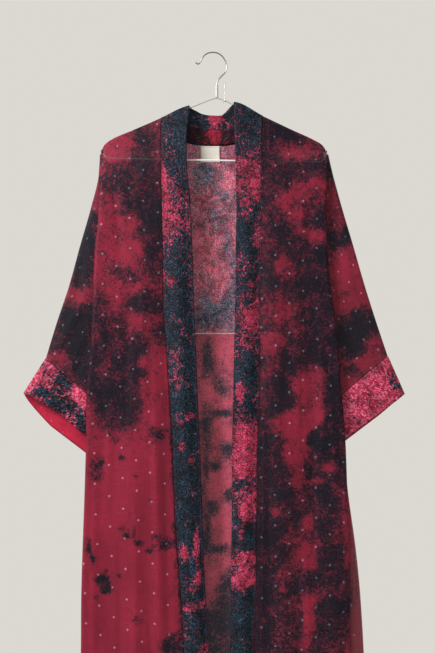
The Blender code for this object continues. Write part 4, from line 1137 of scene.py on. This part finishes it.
def wire_finish(name, tint, roughness, metallic, marks, low_tint=None, change=0.0):
    """Wire: drawn or coated metal, a little duller and darker where it is handled, and of
    another tint below a height if one is given."""
    made, tree, shader = finish_material(name, roughness, metallic=metallic)
    place = add(tree, 'ShaderNodeTexCoord').outputs["Object"]
    height = add(tree, 'ShaderNodeSeparateXYZ', {"Vector": place}).outputs["Z"]
    upper = step_up(tree, height, change - 0.006, change + 0.006)
    tint = blend_colours(tree, upper, low_tint or tint, tint)
    wear = noise(tree, place, 90.0, 5.0, 0.65)
    drawn = noise(tree, place, 700.0, 2.0, 0.6)
    tone = calc(tree, 'MULTIPLY_ADD', wear, marks, 1.0)
    base = blend_colours(tree, 1.0, tint, tone, 'MULTIPLY')
    tree.links.new(base, shader.inputs["Base Color"])
    rough = calc(tree, 'MULTIPLY_ADD', wear, 0.3, roughness, clamp=True)
    tree.links.new(rough, shader.inputs["Roughness"])
    raise_surface(tree, shader, ((wear, 0.5), (drawn, 0.3)), 0.0003)
    return made


def floor_finish():
    """Matt pale floor with a faint unevenness of tone."""
    made, tree, shader = finish_material("Pale floor", 0.85)
    place = add(tree, 'ShaderNodeTexCoord').outputs["Object"]
    tone = calc(tree, 'MULTIPLY_ADD', noise(tree, place, 3.0), 0.05, 1.0)
    base = blend_colours(tree, 1.0, colour(226, 223, 216), tone, 'MULTIPLY')
    tree.links.new(base, shader.inputs["Base Color"])
    return made


# Red, rim and dark dye of the right side and of the wrong side
DYES = colour(137, 25, 51), colour(64, 21, 38), colour(18, 16, 30)
FADED = colour(228, 94, 120), colour(132, 74, 90), colour(48, 47, 64)


def build_kimono():
    """All cloth pieces, each in place of its solid."""
    silk = dyed_silk("Dyed silk", *DYES, SILK_ALPHA, 0.7)
    wrong = dyed_silk("Dyed silk, wrong side", *FADED, SILK_ALPHA, 0.4, lace=2.0, softness=0.8)
    edged = dyed_silk(
        "Dyed silk, wrong side with selvedge", *FADED, SILK_ALPHA, 0.4, 0.7, 2.0, 0.8)
    pink, pink_line = colour(140, 21, 50), colour(188, 74, 106)
    navy, navy_line = colour(6, 9, 20), colour(34, 57, 74)
    figured = figured_silk("Figured silk", pink, pink_line, navy, navy_line, 1.0)
    coarse = figured_silk(
        "Figured silk, cuffs", colour(164, 30, 62), colour(202, 98, 126), navy, navy_line, 1.0,
        scale=66.0)
    reverse = figured_silk(
        "Figured silk, wrong side", colour(212, 70, 100), colour(226, 160, 176),
        colour(50, 60, 78), colour(136, 142, 158), 0.97, 0.6, scale=150.0, lace=2.4)
    # The red silk inside the cuffs is brighter than the dyed silk's red: painted light, standing in
    # for light shining through the thin silk into the shaded cuff
    painted_light_lining = dyed_silk(
        "Red silk, painted light", colour(184, 32, 62), colour(170, 30, 58), colour(150, 28, 52), 0.98, 0.3)
    # The neck facing silk is a darker copy of the red silk, dark at both sides: painted shade
    # inside the neck
    shaded = dyed_silk(
        "Neck facing silk, painted shade", colour(158, 26, 50), colour(84, 20, 36), colour(26, 14, 24), 0.98, 0.3)
    label = label_cloth()

    pieces = {}
    for side, name, creases, patches, base, red, clear in (
            (-1, "left", LEFT_FRONT_CREASES, LEFT_FRONT_DYE_AND_SHADE, -0.3, 0.46, 0.9),
            (1, "right", RIGHT_FRONT_CREASES, RIGHT_FRONT_DYE_AND_SHADE, 0.34, 0.36, 0.3)):
        grid, edge = front_grid(side, creases)
        x, y, drop = grid
        lead = 0.6 * np.abs(x[:, :1]) + (14.3 if side > 0 else 0.0)
        uv = cloth_map(x, y, drop, lead=lead, fall=8.0 if side > 0 else 0.0)
        red_limit = red + clear * ease((drop - CLEAR_DROP) / CLEAR_LENGTH)
        field = dye_and_shade_field(patches, x, drop, base, red_limit, FRONT_DARK_LIMIT)
        pieces[name + "_front"] = cloth(
            name + "_front", grid, CLOTH, (silk, wrong), ["front_" + name],
            field, edge, flip=side > 0, uv=uv, sheer=np.exp(-((drop - BAR_DROP) / BAR_WIDTH) ** 2),
            shade_crease=crease_height(creases, x, drop))

    x, y, drop = back_grid()
    middle = x.shape[1] // 2
    uv = cloth_map(x, y, drop, at=middle, lead=x[:, middle:middle + 1])
    seam = SHOULDER_ROWS + int(round((YOKE_FOOT - FIRST_LEVEL) / FINE_STEP)) - 1
    for name, rows, skins, slot, patches, base in (
            ("back_yoke", slice(0, seam + 1), (figured, reverse), "yoke_cloth",
             YOKE_WRONG_DYE, -0.2),
            ("back_lower", slice(seam, None), (silk, edged), "main_cloth",
             LOWER_WRONG_DYE, -0.3)):
        part = [v[rows].copy() for v in (x, y, drop)]
        if name == "back_lower":
            part[2][0] += SEAM_GAP
            edge = np.minimum(HEM - part[2], part[2] - YOKE_FOOT)
        else:
            edge = YOKE_FOOT - part[2]
        field = dye_and_shade_field(patches + BACK_DYE, part[0], part[2], base)
        pieces[name] = cloth(
            name + "_cloth", part, CLOTH, skins, [name], field, edge,
            uv=[v[rows] for v in uv],
            sheer=ease((np.abs(part[0]) - SHEER_EDGE) / SHEER_EDGE_WIDTH) - 0.5,
            shade_crease=crease_height(BACK_CREASES, part[0], part[2]))

    for side, name, creases, patches, base in (
            (-1, "left", LEFT_BAND_CREASES, LEFT_BAND_DYE, 0.85),
            (1, "right", RIGHT_BAND_CREASES, RIGHT_BAND_DYE, 0.66)):
        grid, edge = band_grid(side, creases)
        gain = BAND_LIMIT_GAIN * ease((grid[2] - BAND_CLEAR_DROP) / BAND_CLEAR_LENGTH)
        field = dye_and_shade_field(
            patches, grid[0], grid[2], base, BAND_RED_LIMIT + gain, BAND_DARK_LIMIT + gain)
        pieces[name + "_band"] = cloth(
            name + "_neckband", grid, DOUBLE_CLOTH, (figured, figured), ["band_" + name],
            field, edge, flip=side > 0, shade_crease=crease_height(creases, *grid[::2]))

    grid = neckband_grid(0, len(NECKBAND) - 1, np.linspace(0.0, NECKBAND_REACH, 18), 0.0)
    pieces["back_band"] = cloth(
        "back_neckband", grid, DOUBLE_CLOTH, (figured, figured), ["band_neck"],
        dye_and_shade_field(NECKBAND_DYE, grid[0], grid[2], 0.7), 50.0, flip=True,
        uv=cloth_map(*grid, whole=True))
    grid = neckband_grid(4, len(NECKBAND) - 5, np.linspace(0.5, 0.97, 12), LABEL_CLOTH + SEAM_GAP)
    pieces["facing"] = cloth(
        "neck_facing_strip", grid, LABEL_CLOTH, (shaded, shaded), ["neck_facing"],
        dye_and_shade_field(FACING_SHADE, grid[0], grid[2], -0.1), 20.0, flip=True,
        uv=cloth_map(*grid, whole=True))

    left, right, top, foot = LABEL
    share_x, share_z = np.meshgrid(np.linspace(0, 1, 22), np.linspace(0, 1, 20))
    x = left + (right - left) * share_x
    drop = top + (foot - top) * share_z
    curl = 1.6 * ease((share_z - 0.55) / 0.45) * (2 * share_x - 1) ** 2
    y = back_depth(1, x, drop) - LABEL_CLOTH - SEAM_GAP - curl
    edge = np.minimum(np.minimum(x - left, right - x), np.minimum(drop - top, foot - drop))
    pieces["label"] = cloth(
        "neck_label_cloth", (x, y, drop), LABEL_CLOTH, (label,), ["neck_label"],
        0.0, edge)

    for side, name, table, hem, creases, sleeve_dye, cuff_dye, base in (
            (-1, "left", SLEEVE_LEFT, CUFF_LEFT, LEFT_SLEEVE_CREASES, LEFT_SLEEVE_DYE,
             LEFT_CUFF_DYE, -0.45),
            (1, "right", SLEEVE_RIGHT, CUFF_RIGHT, RIGHT_SLEEVE_CREASES, RIGHT_SLEEVE_DYE,
             RIGHT_CUFF_DYE, -1.0)):
        grid = sleeve_grid(side, table, creases)
        field = dye_and_shade_field(sleeve_dye, grid[0], grid[2], 0.0)
        edge = SLEEVE_LENGTH * (1 - np.linspace(0, 1, len(field))[:, None])
        pieces[name + "_sleeve"] = cloth(
            name + "_sleeve", grid, CLOTH, (silk, wrong), ["sleeve_" + name],
            field, edge, flip=side < 0, ring=True,
            shade_crease=crease_height(creases, side * grid[0], grid[2]))
        grid, edge = cuff_grid(side, table, hem)
        field = dye_and_shade_field(cuff_dye, grid[0], grid[2], base)
        pieces[name + "_cuff"] = cloth(
            name + "_cuff", grid, DOUBLE_CLOTH, (coarse, painted_light_lining), ["cuff_" + name],
            field, edge, flip=side < 0, ring=True,
            shade_crease=crease_height(CUFF_CREASES, side * grid[0], grid[2]))
    return pieces


def finish_hanger():
    """Bare and coated wire finishes for the hanger's solids."""
    grey = wire_finish("Grey wire", colour(150, 148, 143), 0.36, 1.0, 0.5)
    white = wire_finish(
        "White coating", colour(186, 185, 183), 0.3, 0.0, 0.3, low_tint=colour(240, 238, 234),
        change=-0.16)
    for node, skin in (("hanger_hook", grey), ("hanger_tail", grey),
                       ("hanger_neck", white), ("hanger_frame", white)):
        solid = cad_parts[node]
        solid.data.materials.clear()
        solid.data.materials.append(skin)
        solid.data.shade_smooth()


def stand(thing, axes, place):
    """Sets an object's three axes and its place."""
    rows = [[*row, where] for row, where in zip(np.stack(axes, 1).tolist(), place)]
    thing.matrix_world = Matrix(rows + [[0, 0, 0, 1]])


def build_stage():
    """Pale floor well below the hem, soft lights, a surround that looks paler than it
    lights, and the camera."""
    mesh = bpy.data.meshes.new("floor")
    turn = np.linspace(0, 2 * np.pi, 96, endpoint=False)
    rim = np.stack(
        [FLOOR_RADIUS * np.cos(turn), FLOOR_RADIUS * np.sin(turn), 0 * turn + FLOOR_Z], -1)
    mesh.from_pydata(rim.tolist(), [], [list(range(len(rim)))])
    mesh.materials.append(floor_finish())
    new_object("floor", mesh)

    world = bpy.data.worlds.new("Pale room")
    world.use_nodes = True
    ground = world.node_tree.nodes["Background"]
    ground.inputs["Color"].default_value = (0.775, 0.752, 0.7, 1.0)
    tree = world.node_tree
    seen = add(tree, 'ShaderNodeLightPath').outputs["Is Camera Ray"]
    strength = calc(tree, 'MULTIPLY_ADD', seen, WORLD_SEEN - WORLD_LIGHT, WORLD_LIGHT)
    tree.links.new(strength, ground.inputs["Strength"])
    bpy.context.scene.world = world

    for name, place, aim, energy, size in LIGHTS:
        lamp = bpy.data.lights.new(name, 'AREA')
        lamp.energy, lamp.size = energy, size
        way = np.array(place) - np.array(aim)
        way = way / np.linalg.norm(way)
        right = np.cross((0, 0, 1), way)
        right = right / np.linalg.norm(right)
        up = np.cross(way, right)
        stand(new_object(name, lamp), (right, up, way), place)

    yaw, roll = np.radians(CAMERA_YAW), np.radians(CAMERA_ROLL)
    level = np.array([np.cos(yaw), -np.sin(yaw), 0.0])
    upright = np.array([0.0, 0.0, 1.0])
    right = np.cos(roll) * level - np.sin(roll) * upright
    up = np.sin(roll) * level + np.cos(roll) * upright
    back = -np.array([np.sin(yaw), np.cos(yaw), 0.0])
    lens_data = bpy.data.cameras.new("camera")
    lens_data.lens, lens_data.sensor_width = CAMERA_LENS, 36.0
    lens_data.clip_start, lens_data.clip_end = 0.05, 30.0
    camera = new_object("camera", lens_data)
    stand(camera, (right, up, back), CAMERA_PLACE)
    bpy.context.scene.camera = camera
    bpy.context.scene.view_settings.view_transform = 'Standard'


finish_hanger()
kimono = build_kimono()
build_stage()
bpy.context.view_layer.update()
